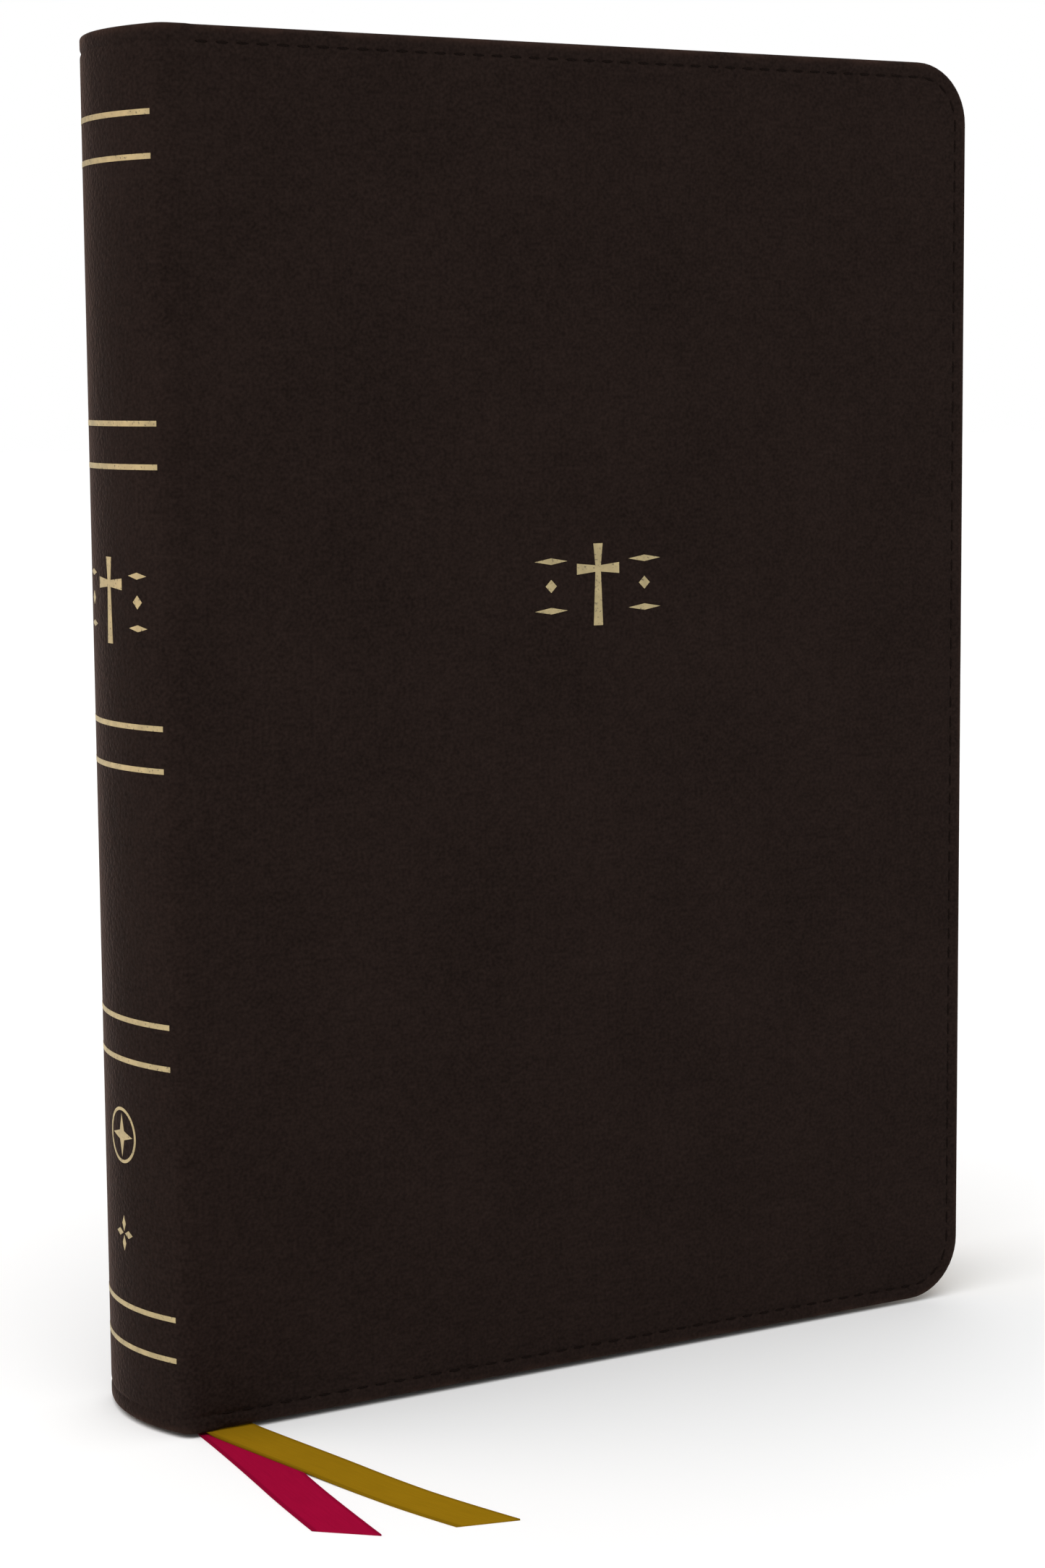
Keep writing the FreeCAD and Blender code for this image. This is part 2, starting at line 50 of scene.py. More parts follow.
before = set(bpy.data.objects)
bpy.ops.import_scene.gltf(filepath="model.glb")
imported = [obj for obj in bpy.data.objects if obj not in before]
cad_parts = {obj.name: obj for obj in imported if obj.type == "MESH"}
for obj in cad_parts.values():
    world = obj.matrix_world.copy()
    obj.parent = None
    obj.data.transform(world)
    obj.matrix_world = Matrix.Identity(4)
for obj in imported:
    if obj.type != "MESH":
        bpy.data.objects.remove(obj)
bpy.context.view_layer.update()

MM = 0.001
WELD = 1e-7                  # points nearer to each other than this, in metres, are one
TURN = 2 * math.pi
UP = Vector((0.0, 0.0, 1.0))
SURFACE_MAP = "Surface"      # UV map in metres that lies on the surface, so patterns bend with it
FRONT, BACK = -1, 1          # the sides of the book that the two covers are on


def node_box(node):
    """Lowest and highest corner of a CAD node, in millimetres."""
    return [[value / MM for value in corner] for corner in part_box(node)]


# --- Places read from the frame, in millimetres ------------------------------------------------
spine_low, spine_high = node_box("spine_leather")
cover_high = node_box("front_leather")[1]
leaf_low, leaf_high = node_box("front_flyleaf")
block_low, block_high = node_box("gathering_01")[0], node_box("gathering_12")[1]

HINGE_X = spine_high[0]
SPINE_BACK_X = spine_low[0]
FORE_EDGE_X = cover_high[0]
HALF_THICKNESS = spine_high[1]
CASE_LOW, CASE_HIGH = spine_low[2], spine_high[2]
LEAF_LOW, LEAF_HIGH = leaf_low[2], leaf_high[2]
BLOCK_FRONT_Y, BLOCK_BACK_Y = block_low[1], block_high[1]
LEAF_FRONT_Y = leaf_low[1]

# --- Sizes of the CAD model that the frame doesn't give, in millimetres ------------------------
SPINE_BULGE = 5.3                      # how far the spine stands out past the covers' edges
SPINE_RADIUS = 36.0
SHOULDER_RADIUS = 3.5                  # soft corner between the spine and each cover
CORNER_RADIUS = 12.0                   # fore-edge corners of the covers
PAGE_CORNER = 8.0
LEAF_BACK_RADIUS = 34.0                # the leaves' backs lie on this curve
SPINE_CENTRE_X = SPINE_BACK_X + SPINE_RADIUS
SHOULDER_Y = HALF_THICKNESS - SHOULDER_RADIUS
SHOULDER_ANGLE = math.asin(SHOULDER_Y / (SPINE_RADIUS - SHOULDER_RADIUS))
SHOULDER_RUN = SHOULDER_RADIUS * (math.pi / 2 - SHOULDER_ANGLE)
WHOLE_SPINE_RUN = 2 * (SHOULDER_RUN + SPINE_RADIUS * SHOULDER_ANGLE)
COVER_RUN = FORE_EDGE_X - HINGE_X
COVER_MIDDLE_RUN = (FORE_EDGE_X + SPINE_BACK_X + SPINE_BULGE) / 2 - HINGE_X
FLAT_HEIGHTS = (CASE_LOW + CORNER_RADIUS, CASE_HIGH - CORNER_RADIUS)

# Case: thickness of its wall, the crease that the stitches lie in, and the skin's border rings.
SPINE_WALL, JOINT_WALL, COVER_WALL = 1.35, 0.9, 2.17
PARED_RUN = 1.0                        # the bare joint starts this far before the hinge line
BOARD_RUN = (2.8, 4.8)                 # the wall grows to a cover's thickness over this run
CREASE_INSET, CREASE_DEPTH, CREASE_WIDTH = 3.0, 0.24, 0.45
CREASE_START = 6.0                     # from the hinge line to the crease's ends
RUBBED_INSETS = (0.3, 1.7)             # worn up to the first, and not at all past the second
RING_INSETS = (0.0, 0.04, 0.15, 0.33, 0.55, 0.8, 1.1, 1.6, 2.1, 2.45, 2.7, 2.9, 3.1, 3.3, 3.55,
               3.9, 5.0, 7.0, 9.5, 12.0)
BEND_START, BEND_RUN = -1.0, 5.0       # where the front joint bends, from its hinge line
BEND_TILT = math.radians(20.0)         # tilt of that zone, which leaves the back joint out of it
BACK_SEAM_RUN = 1.2                    # the spine's leather is joined to the back cover's here
BACK_BEND_RUN = 4.6

# Foil: height of the middle of each part above the tail of the case, and sizes.
RULES_LEVEL, ORNAMENT_LEVEL, MEDALLION_LEVEL, MARK_LEVEL = 126.25, 152.6, 53.6, 35.0
RULE_PAIRS, RULE_END_INSET = 5, 2.2
ORNAMENT_HEIGHT, CROSS_WIDTH, CROSS_BAR, CROSS_FLARE = 15.7, 9.6, 1.25, 2.1
ORNAMENT_BAR_SHARE = 0.3               # level of the tapered bars, as part of the height
FRONT_HALF_WIDTH, SPINE_HALF_WIDTH = 14.25, 12.0
MEDALLION_RADIUS, MEDALLION_RING, STAR_RADIUS, STAR_POINTS = 5.25, 0.6, 4.05, 4
STAR_WAIST_SHARE, PETAL_WAIST_SHARE = 0.3, 0.2
MARK_RADIUS = 3.7
FOIL_LIFT, FOIL_SINK = 0.05, 0.05      # how far the foil stands out of the leather and into it

# Turning leaves: name, thickness of the stack, gutter from the hinge line, side of the book.
TURNING_STACKS = (
    ("front_flyleaf", 0.2, 13.0, FRONT),
    ("title_leaves", 0.8, 13.9, FRONT),
    ("preface_leaves", 1.2, 15.6, FRONT),
    ("opening_leaves", 1.6, 17.9, FRONT),
    ("back_flyleaf", 0.2, 13.0, BACK),
    ("map_leaves", 1.2, 13.9, BACK),
)
BOUND_MARGINS = {"opening_leaves": ("front_bound_margins",), "map_leaves": ("back_bound_margins",)}
SLAB = 0.2                             # a few sheets of thin paper that move as one
SLAB_GAP = 0.03
SLAB_SHARE = 0.86                      # part of the pitch that a slab of the block fills
SHEET_INSET = 0.08                     # the sheets end this far inside the CAD leaves
PASTEDOWN_MARGIN, PASTEDOWN_CORNER, PASTEDOWN_THICKNESS = 5.0, 7.0, 0.18
# The endpaper leaves the corner of the leaves and crosses the joint by these x and y.
PASTEDOWN_START = ((-86.26, -14.42), (-86.16, -14.80), (-85.98, -15.25), (-85.72, -15.65))

# Ribbon routes, the same points as in the part's source, in metres.
RED_ROUTE = (
    (-0.07895, -0.00475, 0.00470), (-0.07935, -0.01100, 0.00014), (-0.08050, -0.02400, 0.00014),
    (-0.08235, -0.04100, 0.00014), (-0.08475, -0.06000, 0.00014), (-0.08640, -0.07980, 0.00014),
)
GOLD_ROUTE = (
    (-0.08005, -0.00673, 0.00470), (-0.07925, -0.01230, 0.00044), (-0.07710, -0.02500, 0.00044),
    (-0.07350, -0.04400, 0.00044), (-0.07060, -0.05820, 0.00014), (-0.06740, -0.07250, 0.00014),
    (-0.06260, -0.08760, 0.00014),
)


# --- Sizes and colours that a user would change ------------------------------------------------
def colour_property(name, description, default):
    return FloatVectorProperty(name=name, description=description, default=default,
                               subtype="COLOR", size=3, min=0.0, max=1.0)


def length_property(name, description, default):
    return FloatProperty(name=name, description=description, default=default, min=0.0,
                         subtype="DISTANCE", unit="LENGTH", precision=5)


class CaseSettings(bpy.types.PropertyGroup):
    """Leather of the case and its edge stitching."""
    leather: colour_property("Leather", "Main colour of the leather", (0.0092, 0.0060, 0.0051))
    leather_warm: colour_property("Warm Leather", "Colour of its lighter, redder patches",
                                  (0.0230, 0.0146, 0.0122))
    worn: colour_property("Worn Edge", "Colour where the edges are rubbed", (0.045, 0.024, 0.018))
    roughness: FloatProperty(name="Roughness", description="How dull the leather is",
                             default=0.62, min=0.0, max=1.0, subtype="FACTOR")
    grain: length_property("Grain", "Width of one pebble of the grain", 0.0009)
    unevenness: length_property("Unevenness", "How far the cover's flat wanders", 0.00022)
    thread: colour_property("Thread", "Colour of the edge stitching", (0.0080, 0.0052, 0.0044))
    stitch_pitch: length_property("Stitch Pitch", "From one stitch to the next", 0.004)
    stitch_length: length_property("Stitch Length", "Length of one stitch", 0.0026)


class FoilSettings(bpy.types.PropertyGroup):
    """Gold foil on the cover and the spine."""
    gold: colour_property("Foil", "Colour of the foil", (0.545, 0.44, 0.235))
    rule_height: length_property("Rule Height", "Height of each foil rule", 0.001)
    pair_gap: length_property("Pair Gap", "Between the two rules of a pair", 0.0077)
    pair_pitch: length_property("Pair Pitch", "From one pair of rules to the next", 0.05435)


class LeafSettings(bpy.types.PropertyGroup):
    """Leaves, their gilt edges and the endpapers."""
    paper: colour_property("Paper", "Colour of the bible paper", (0.80, 0.76, 0.66))
    endpaper: colour_property("Endpaper", "Colour of the endpapers", (0.085, 0.050, 0.034))
    gilt: colour_property("Gilt", "Colour of the gilt edges", (0.72, 0.50, 0.20))
    jitter: length_property("Unevenness", "How far the leaves' edges differ", 0.00007)
    seed: IntProperty(name="Seed", description="Picks the unevenness of the leaves", default=7)


class BandSettings(bpy.types.PropertyGroup):
    """Headband and tailband."""
    silk: colour_property("Silk", "Main colour of the bands", (0.55, 0.36, 0.12))
    second_silk: colour_property("Second Silk", "Colour of every other wrap", (0.075, 0.030, 0.018))
    wraps: IntProperty(name="Wraps", description="Thread wraps along each band", default=58, min=8)


class RibbonSettings(bpy.types.PropertyGroup):
    """Ribbon markers."""
    red: colour_property("Red", "Colour of the red ribbon", (0.305, 0.0035, 0.033))
    gold: colour_property("Gold", "Colour of the gold ribbon", (0.268, 0.148, 0.0050))
    width: length_property("Width", "Width of both ribbons", 0.0095)
    thickness: length_property("Thickness", "Thickness of both ribbons", 0.00025)
    red_slant: length_property("Red Slant", "How far the red ribbon's end is cut back", 0.0075)
    gold_slant: length_property("Gold Slant", "How far the gold ribbon's end is cut back", 0.006)


class StageSettings(bpy.types.PropertyGroup):
    """Floor, light and camera."""
    camera_place: FloatVectorProperty(
        name="Camera", description="Where the camera stands", size=3, subtype="TRANSLATION",
        unit="LENGTH", default=(-0.3361, -0.5498, 0.1927))
    camera_turn: FloatVectorProperty(
        name="Camera Turn", description="Yaw, pitch and roll of the camera", size=3,
        subtype="EULER", unit="ROTATION",
        default=(math.radians(-31.1), math.radians(-7.02), math.radians(-0.47)))
    lens: FloatProperty(name="Lens", description="Focal length in millimetres on a 36 mm sensor",
                        default=75.65, min=10.0)
    sky: FloatProperty(name="Sky", description="Strength of the light from all round",
                       default=0.50, min=0.0)
    overhead: FloatProperty(name="Overhead", description="Strength of the wide light from above",
                            default=2.2, min=0.0)
    floor: colour_property("Floor", "Colour of the floor", (0.95, 0.95, 0.95))


# --- Nodes -------------------------------------------------------------------------------------
def live_socket(sockets, key):
    """Socket in use by its name, or by its place among the sockets in use."""
    live = [socket for socket in sockets if socket.enabled]
    return live[key] if isinstance(key, int) else next(s for s in live if s.name == key)


class Value:
    """Output socket of a node; arithmetic on it adds Math nodes."""

    def __init__(self, tree, socket):
        self.tree = tree
        self.socket = socket

    def out(self, key):
        """Another output of the same node."""
        return Value(self.tree, live_socket(self.socket.node.outputs, key))

    def maths(self, operation, *values):
        return self.tree.node("ShaderNodeMath", {"operation": operation}, dict(enumerate(values)))

    def __add__(self, other):
        return self.maths("ADD", self, other)

    def __radd__(self, other):
        return self.maths("ADD", other, self)

    def __sub__(self, other):
        return self.maths("SUBTRACT", self, other)

    def __rsub__(self, other):
        return self.maths("SUBTRACT", other, self)

    def __mul__(self, other):
        return self.maths("MULTIPLY", self, other)

    def __rmul__(self, other):
        return self.maths("MULTIPLY", other, self)

    def __truediv__(self, other):
        return self.maths("DIVIDE", self, other)

    def __rtruediv__(self, other):
        return self.maths("DIVIDE", other, self)

    def __gt__(self, other):
        return self.maths("GREATER_THAN", self, other)

    def __lt__(self, other):
        return self.maths("LESS_THAN", self, other)

    def root(self):
        return self.maths("SQRT", self)

    def size(self):
        return self.maths("ABSOLUTE", self)

    def floor(self):
        return self.maths("FLOOR", self)

    def sine(self):
        return self.maths("SINE", self)

    def cosine(self):
        return self.maths("COSINE", self)

    def wave(self):
        """Sine wave from 0 to 1."""
        return self.sine() * 0.5 + 0.5

    def remainder(self, other):
        return self.maths("FLOORED_MODULO", self, other)


class Tree:
    """Adds nodes to a shader or geometry tree."""

    def __init__(self, tree):
        self.tree = tree

    def node(self, kind, settings=None, inputs=None):
        """A node of this type with its settings, then its sockets' values or links."""
        made = self.tree.nodes.new(kind)
        for name, value in (settings or {}).items():
            setattr(made, name, value)
        for key, value in (inputs or {}).items():
            socket = live_socket(made.inputs, key)
            if isinstance(value, Value):
                self.tree.links.new(value.socket, socket)
            else:
                socket.default_value = value
        live = [socket for socket in made.outputs if socket.enabled]
        return Value(self, live[0]) if live else None

    def noise(self, place, scale, detail=2.0):
        """Noise from 0 to 1, with its scale in patches per metre."""
        return self.node("ShaderNodeTexNoise", {},
                         {"Vector": place, "Scale": scale, "Detail": detail})

    def mix(self, factor, first, second):
        """Colour between two colours."""
        return self.node("ShaderNodeMix", {"data_type": "RGBA"},
                         {"Factor": factor, "A": first, "B": second})

    def tones(self, factor, colour, dark, light=1.0):
        """Colour between a darker and a lighter tone of one colour."""
        return self.mix(factor, *[solid([share * c for c in colour]) for share in (dark, light)])

    def ramp(self, value, low, high, curve="LINEAR"):
        """0 below low, 1 above high, and smooth between."""
        return self.node("ShaderNodeMapRange", {"interpolation_type": curve},
                         {"Value": value, "From Min": low, "From Max": high})

    def point(self, x, y, z):
        return self.node("ShaderNodeCombineXYZ", {}, {"X": x, "Y": y, "Z": z})

    def parts(self, vector):
        """X, Y and Z of a vector."""
        split = self.node("ShaderNodeSeparateXYZ", {}, {"Vector": vector})
        return split, split.out("Y"), split.out("Z")

    def bump(self, height, distance, strength, under=None):
        inputs = {"Height": height, "Distance": distance, "Strength": strength}
        if under:
            inputs["Normal"] = under
        return self.node("ShaderNodeBump", {}, inputs)

    def here(self):
        """X, Y and Z of each point of the geometry."""
        return self.parts(self.node("GeometryNodeInputPosition"))

    def joined(self, first, second):
        join = self.node("GeometryNodeJoinGeometry", {}, {"Geometry": first})
        self.tree.links.new(second.socket, join.socket.node.inputs[0])
        return join

    def copies(self, points, instance, turn=(0.0, 0.0, 0.0)):
        """Real copies of a piece of geometry, one on each point."""
        row = self.node("GeometryNodeInstanceOnPoints", {},
                        {"Points": points, "Instance": instance, "Rotation": turn})
        return self.node("GeometryNodeRealizeInstances", {}, {"Geometry": row})

    def dressed(self, geometry, material, selection=True):
        """The same geometry with this material on its selected faces."""
        return self.node("GeometryNodeSetMaterial", {},
                         {"Geometry": geometry, "Selection": selection, "Material": material})


FINISHES = {}


def finish(name, looks, *details):
    """The finish of this name, made the first time that it is asked for.

    Its looks function gives the values and links of the surface shader's sockets.
    """
    if name not in FINISHES:
        material = bpy.data.materials.new(name + "_finish")
        material.use_nodes = True
        material.node_tree.nodes.clear()
        nodes = Tree(material.node_tree)
        surface = nodes.node("ShaderNodeBsdfPrincipled", {}, looks(nodes, *details))
        nodes.node("ShaderNodeOutputMaterial", {}, {"Surface": surface})
        FINISHES[name] = material
    return FINISHES[name]


def solid(colour):
    return (*colour, 1.0)


def surface_place(nodes):
    """Place on the surface from the piece's own map, in metres."""
    return nodes.node("ShaderNodeUVMap", {"uv_map": SURFACE_MAP})


def object_place(nodes):
    """Place in the frame, in metres."""
    return nodes.node("ShaderNodeTexCoord").out("Object")


# --- Finishes: a noise's scale is in patches per metre, a bump's distance in metres ------------
WARM_GLINT = (1.0, 0.72, 0.62, 1.0)    # tint of the leather's and the thread's faint gloss


def cover_leather(nodes):
    """Fine-grained dark leather, a little lighter where its edges are rubbed."""
    case = bpy.context.scene.bible_case
    place = surface_place(nodes)
    patches = nodes.ramp(nodes.noise(place, 40.0, 4.0), 0.32, 0.68)
    mottle = nodes.ramp(nodes.noise(place, 380.0, 3.0), 0.34, 0.66)
    specks = nodes.ramp(nodes.noise(place, 1500.0, 2.0), 0.34, 0.66)
    pebbles = nodes.node("ShaderNodeTexVoronoi", {}, {"Vector": place, "Scale": 1.0 / case.grain})
    pores = nodes.noise(place, 2.4 / case.grain, 2.0)
    wrinkles = nodes.noise(place, 95.0, 5.0)
    rub = nodes.node("ShaderNodeAttribute", {"attribute_name": "rub"}).out("Fac")
    rubbed = rub * nodes.ramp(nodes.noise(place, 160.0, 4.0), 0.30, 0.75)
    body = nodes.mix(patches * 0.2 + mottle * 0.24 + specks * 0.56, solid(case.leather),
                     solid(case.leather_warm))
    grain = nodes.bump(pebbles * 0.6 + pores * 0.4, 0.00022, 0.9)
    return {"Base Color": nodes.mix(rubbed * 0.6, body, solid(case.worn)),
            "Roughness": (case.roughness - 0.06) + mottle * 0.08 + pores * 0.05 - rubbed * 0.08,
            "Normal": nodes.bump(wrinkles, 0.0008, 0.45, grain),
            "Specular IOR Level": 0.015, "Specular Tint": WARM_GLINT,
            "Sheen Weight": 0.12, "Sheen Roughness": 0.25, "Sheen Tint": (1.0, 0.60, 0.46, 1.0)}


def edge_thread(nodes):
    """Waxed thread of the edge stitching, with its twist."""
    place = object_place(nodes)
    x, _, z = nodes.parts(place)
    twist = ((x + z) * 9000.0).wave()
    tone = nodes.noise(place, 900.0)
    thread = bpy.context.scene.bible_case.thread
    return {"Base Color": nodes.tones(tone * 0.6 + twist * 0.4, thread, 0.6, 1.5),
            "Roughness": 0.55 + tone * 0.2, "Normal": nodes.bump(twist, 0.00008, 0.7),
            "Specular IOR Level": 0.02, "Specular Tint": WARM_GLINT}


def gold_foil(nodes):
    """Blocked gold foil, broken by small flecks where the leather's grain shows."""
    place = object_place(nodes)
    flecks = nodes.ramp(nodes.noise(place, 1900.0, 3.0), 0.60, 0.70)
    clouds = nodes.noise(place, 350.0, 3.0)
    gold = nodes.tones(nodes.ramp(clouds, 0.3, 0.7), bpy.context.scene.bible_foil.gold, 0.72)
    leather = solid(bpy.context.scene.bible_case.leather_warm)
    return {"Base Color": nodes.mix(flecks * 0.75, gold, leather),
            "Metallic": 0.72 - flecks * 0.6,
            "Roughness": 0.46 + clouds * 0.12 + flecks * 0.15,
            "Normal": nodes.bump(nodes.noise(place, 1800.0), 0.00005, 0.35)}


def bible_paper(nodes, printed):
    """Thin bible paper; printed leaves carry two columns of plain grey bars, not letters."""
    place = surface_place(nodes)
    across, height, _ = nodes.parts(place)
    fibres = nodes.noise(place, 1500.0, 4.0)
    clouds = nodes.ramp(nodes.noise(place, 60.0, 3.0), 0.3, 0.7)
    shade = nodes.tones(clouds, bpy.context.scene.bible_leaves.paper, 0.93)
    if printed:
        line_pitch, page_middle, page_level = 0.0034, 0.001, 0.127
        line = height / line_pitch
        from_middle = (across - page_middle).size()
        columns = (from_middle > 0.004) * (from_middle < 0.066)
        rows = ((height - page_level).size() < 0.106) * (line.remainder(1.0) < 0.42)
        words = nodes.noise(nodes.point(across * 420.0, line.floor() * 7.3, 0.0), 1.0, 0.0) > 0.43
        shade = nodes.mix(columns * rows * words * 0.62, shade, (0.16, 0.15, 0.14, 1.0))
    return {"Base Color": shade, "Roughness": 0.82 + fibres * 0.1,
            "Normal": nodes.bump(fibres, 0.00004, 0.4), "Specular IOR Level": 0.25}


def gilt_edge(nodes):
    """Gilt edges of the leaves, with the fine lines of single sheets."""
    place = object_place(nodes)
    x, y, z = nodes.parts(place)
    sheets = nodes.noise(nodes.point(x * 12.0, y * 14000.0, z * 12.0), 1.0, 3.0)
    clouds = nodes.noise(place, 55.0, 3.0)
    return {"Base Color": nodes.tones(sheets, bpy.context.scene.bible_leaves.gilt, 0.55),
            "Metallic": 0.9, "Roughness": 0.34 + clouds * 0.16,
            "Normal": nodes.bump(sheets, 0.00006, 0.5)}


def endpaper(nodes):
    """Dark brown laid endpaper with a fine fibre."""
    place = surface_place(nodes)
    across, height, _ = nodes.parts(place)
    laid = (height * 4200.0).wave()
    fibres = nodes.noise(nodes.point(across, height * 3.0, 0.0), 700.0, 5.0)
    clouds = nodes.noise(place, 45.0, 3.0)
    brown = bpy.context.scene.bible_leaves.endpaper
    return {"Base Color": nodes.tones(fibres * 0.6 + clouds * 0.4, brown, 0.78, 1.25),
            "Roughness": 0.74 + fibres * 0.12,
            "Normal": nodes.bump(laid * 0.4 + fibres * 0.6, 0.00005, 0.5),
            "Specular IOR Level": 0.3}


def band_silk(nodes, colour):
    """Silk thread of the bands, twisted."""
    place = object_place(nodes)
    x, y, z = nodes.parts(place)
    twist = ((x * 0.8 + y + z * 1.4) * 16000.0).wave()
    tone = nodes.noise(place, 1200.0)
    return {"Base Color": nodes.tones(twist * 0.5 + tone * 0.5, colour, 0.7, 1.2),
            "Roughness": 0.42 + tone * 0.15, "Normal": nodes.bump(twist, 0.00006, 0.6),
            "Sheen Weight": 0.3}


def ribbon_satin(nodes, colour, width):
    """Satin ribbon: fine weft lines, a soft stripe of floats and a firmer woven edge."""
    weft_pitch, float_pitch = 0.00034, 0.00021
    along, across, _ = nodes.parts(surface_place(nodes))
    selvedge = nodes.ramp(width / 2 - across.size(), 0.0009, 0.0004, "SMOOTHSTEP")
    weft = (along * (TURN / weft_pitch)).wave()
    floats = (across * (TURN / float_pitch)).wave()
    slubs = nodes.noise(nodes.point(along * 140.0, across * 2600.0, 0.0), 1.0, 3.0)
    tone = nodes.noise(nodes.point(along * 60.0, across * 60.0, 0.0), 1.0, 2.0)
    body = nodes.tones(slubs * 0.5 + tone * 0.3 + weft * 0.2, colour, 0.74, 1.22)
    return {"Base Color": nodes.mix(selvedge * 0.45, body, solid([0.5 * c for c in colour])),
            "Roughness": 0.50 - tone * 0.10 + selvedge * 0.15,
            "Normal": nodes.bump(weft * 0.35 + floats * 0.25 + selvedge * 0.9, 0.00005, 0.7),
            "Specular IOR Level": 0.0}


def grey_board(nodes):
    """Flexible binder's board: pressed grey-brown fibre."""
    fibres = nodes.noise(object_place(nodes), 900.0, 5.0)
    return {"Base Color": nodes.mix(fibres, (0.16, 0.13, 0.10, 1.0), (0.34, 0.29, 0.23, 1.0)),
            "Roughness": 0.80 + fibres * 0.12, "Normal": nodes.bump(fibres, 0.0001, 0.5)}


def kraft_paper(nodes):
    """Brown kraft lining with its long fibres."""
    x, y, z = nodes.parts(object_place(nodes))
    fibres = nodes.noise(nodes.point(x * 3.0, y * 3.0, z), 420.0, 5.0)
    return {"Base Color": nodes.mix(fibres, (0.22, 0.12, 0.055, 1.0), (0.42, 0.26, 0.13, 1.0)),
            "Roughness": 0.72 + fibres * 0.15, "Normal": nodes.bump(fibres, 0.00006, 0.5)}


def open_cloth(nodes):
    """Open-weave cloth or linen thread: warp and weft over each other."""
    weave_pitch = 0.0009
    place = object_place(nodes)
    _, y, z = nodes.parts(place)
    warp, weft = [(way * (TURN / weave_pitch)).sine().size() for way in (y, z)]
    tone = nodes.noise(place, 1500.0)
    shade = nodes.mix(warp * 0.4 + weft * 0.4 + tone * 0.2, (0.40, 0.36, 0.28, 1.0),
                      (0.76, 0.71, 0.60, 1.0))
    return {"Base Color": shade, "Roughness": 0.85 + tone * 0.1,
            "Normal": nodes.bump(warp + weft, 0.0001, 0.6)}


def pale_floor(nodes):
    """Smooth pale tabletop."""
    tone = nodes.noise(object_place(nodes), 3.0, 2.0)
    return {"Base Color": nodes.tones(tone, bpy.context.scene.bible_stage.floor, 0.985),
            "Roughness": 0.9, "Specular IOR Level": 0.1}


# --- Meshes ------------------------------------------------------------------------------------
class Skin:
    """Points and faces of a piece as it is made, in millimetres, with a map in metres."""

    def __init__(self):
        self.points, self.places, self.faces, self.finishes = [], [], [], []
        self.rubs = []

    def add(self, point, place=(0.0, 0.0), rub=0.0):
        """A point, its place on the surface map, and how rubbed it is. Returns its number."""
        self.points.append(tuple(value * MM for value in point))
        self.places.append((place[0] * MM, place[1] * MM))
        self.rubs.append(rub)
        return len(self.points) - 1

    def face(self, corners, finish_index=0):
        self.faces.append(tuple(corners))
        self.finishes.append(finish_index)

    def strip(self, first, second, finish_index=0):
        """Faces between two rows of points."""
        for corners in zip(first, first[1:], second[1:], second):
            self.face(corners, finish_index)

    def sheet(self, rows):
        """Faces between each row of points and the next."""
        for first, second in zip(rows, rows[1:]):
            self.strip(first, second)

    def build(self, name, finishes, sharp=35.0):
        """The finished object: welded, turned outwards, smooth but for its sharp edges."""
        mesh = bpy.data.meshes.new(name)
        mesh.from_pydata(self.points, [], self.faces)
        surface = mesh.uv_layers.new(name=SURFACE_MAP)
        for loop in mesh.loops:
            surface.data[loop.index].uv = self.places[loop.vertex_index]
        rub = mesh.attributes.new("rub", "FLOAT", "POINT")
        rub.data.foreach_set("value", self.rubs)
        mesh.polygons.foreach_set("material_index", self.finishes)
        for each in finishes:
            mesh.materials.append(each)
        tidy_mesh(mesh, sharp, WELD)
        piece = bpy.data.objects.new(name, mesh)
        bpy.context.scene.collection.objects.link(piece)
        return piece


def tidy_mesh(mesh, sharp, weld=0.0):
    """Shade smooth between sharp edges, after welding doubles and turning faces outwards."""
    work = bmesh.new()
    work.from_mesh(mesh)
    if weld:
        bmesh.ops.remove_doubles(work, verts=work.verts, dist=weld)
        bmesh.ops.dissolve_degenerate(work, edges=work.edges, dist=weld)
        bmesh.ops.recalc_face_normals(work, faces=work.faces)
    limit = math.radians(sharp)
    for face in work.faces:
        face.smooth = True
    for edge in work.edges:
        edge.smooth = len(edge.link_faces) == 2 and edge.calc_face_angle(0.0) < limit
    work.to_mesh(mesh)
    work.free()


def grown(name, build, sizes, sharp=35.0, holder_mesh=None):
    """Run a Geometry Nodes tree once and keep its result as a plain mesh."""
    group = bpy.data.node_groups.new(name, "GeometryNodeTree")
    for direction in ("INPUT", "OUTPUT"):
        group.interface.new_socket(name="Geometry", in_out=direction,
                                   socket_type="NodeSocketGeometry")
    keys = {}
    for label, value in sizes.items():
        kind = "NodeSocketInt" if isinstance(value, int) else "NodeSocketFloat"
        keys[label] = group.interface.new_socket(name=label, in_out="INPUT",
                                                 socket_type=kind).identifier
    nodes = Tree(group)
    given = nodes.node("NodeGroupInput")
    nodes.node("NodeGroupOutput", {}, {"Geometry": build(nodes, given)})
    piece = bpy.data.objects.new(name, holder_mesh or bpy.data.meshes.new(name + "_start"))
    bpy.context.scene.collection.objects.link(piece)
    modifier = piece.modifiers.new("Grow", "NODES")
    modifier.node_group = group
    for label, value in sizes.items():
        modifier[keys[label]] = value
    bpy.context.view_layer.update()
    evaluated = piece.evaluated_get(bpy.context.evaluated_depsgraph_get())
    mesh = bpy.data.meshes.new_from_object(evaluated)
    mesh.name = name
    piece.modifiers.remove(modifier)
    piece.data = mesh
    tidy_mesh(mesh, sharp)
    if not mesh.polygons:
        raise RuntimeError("%s has no faces" % name)
    return piece


def smoothstep(value, low, high):
    share = min(max((value - low) / (high - low), 0.0), 1.0)
    return share * share * (3 - 2 * share)


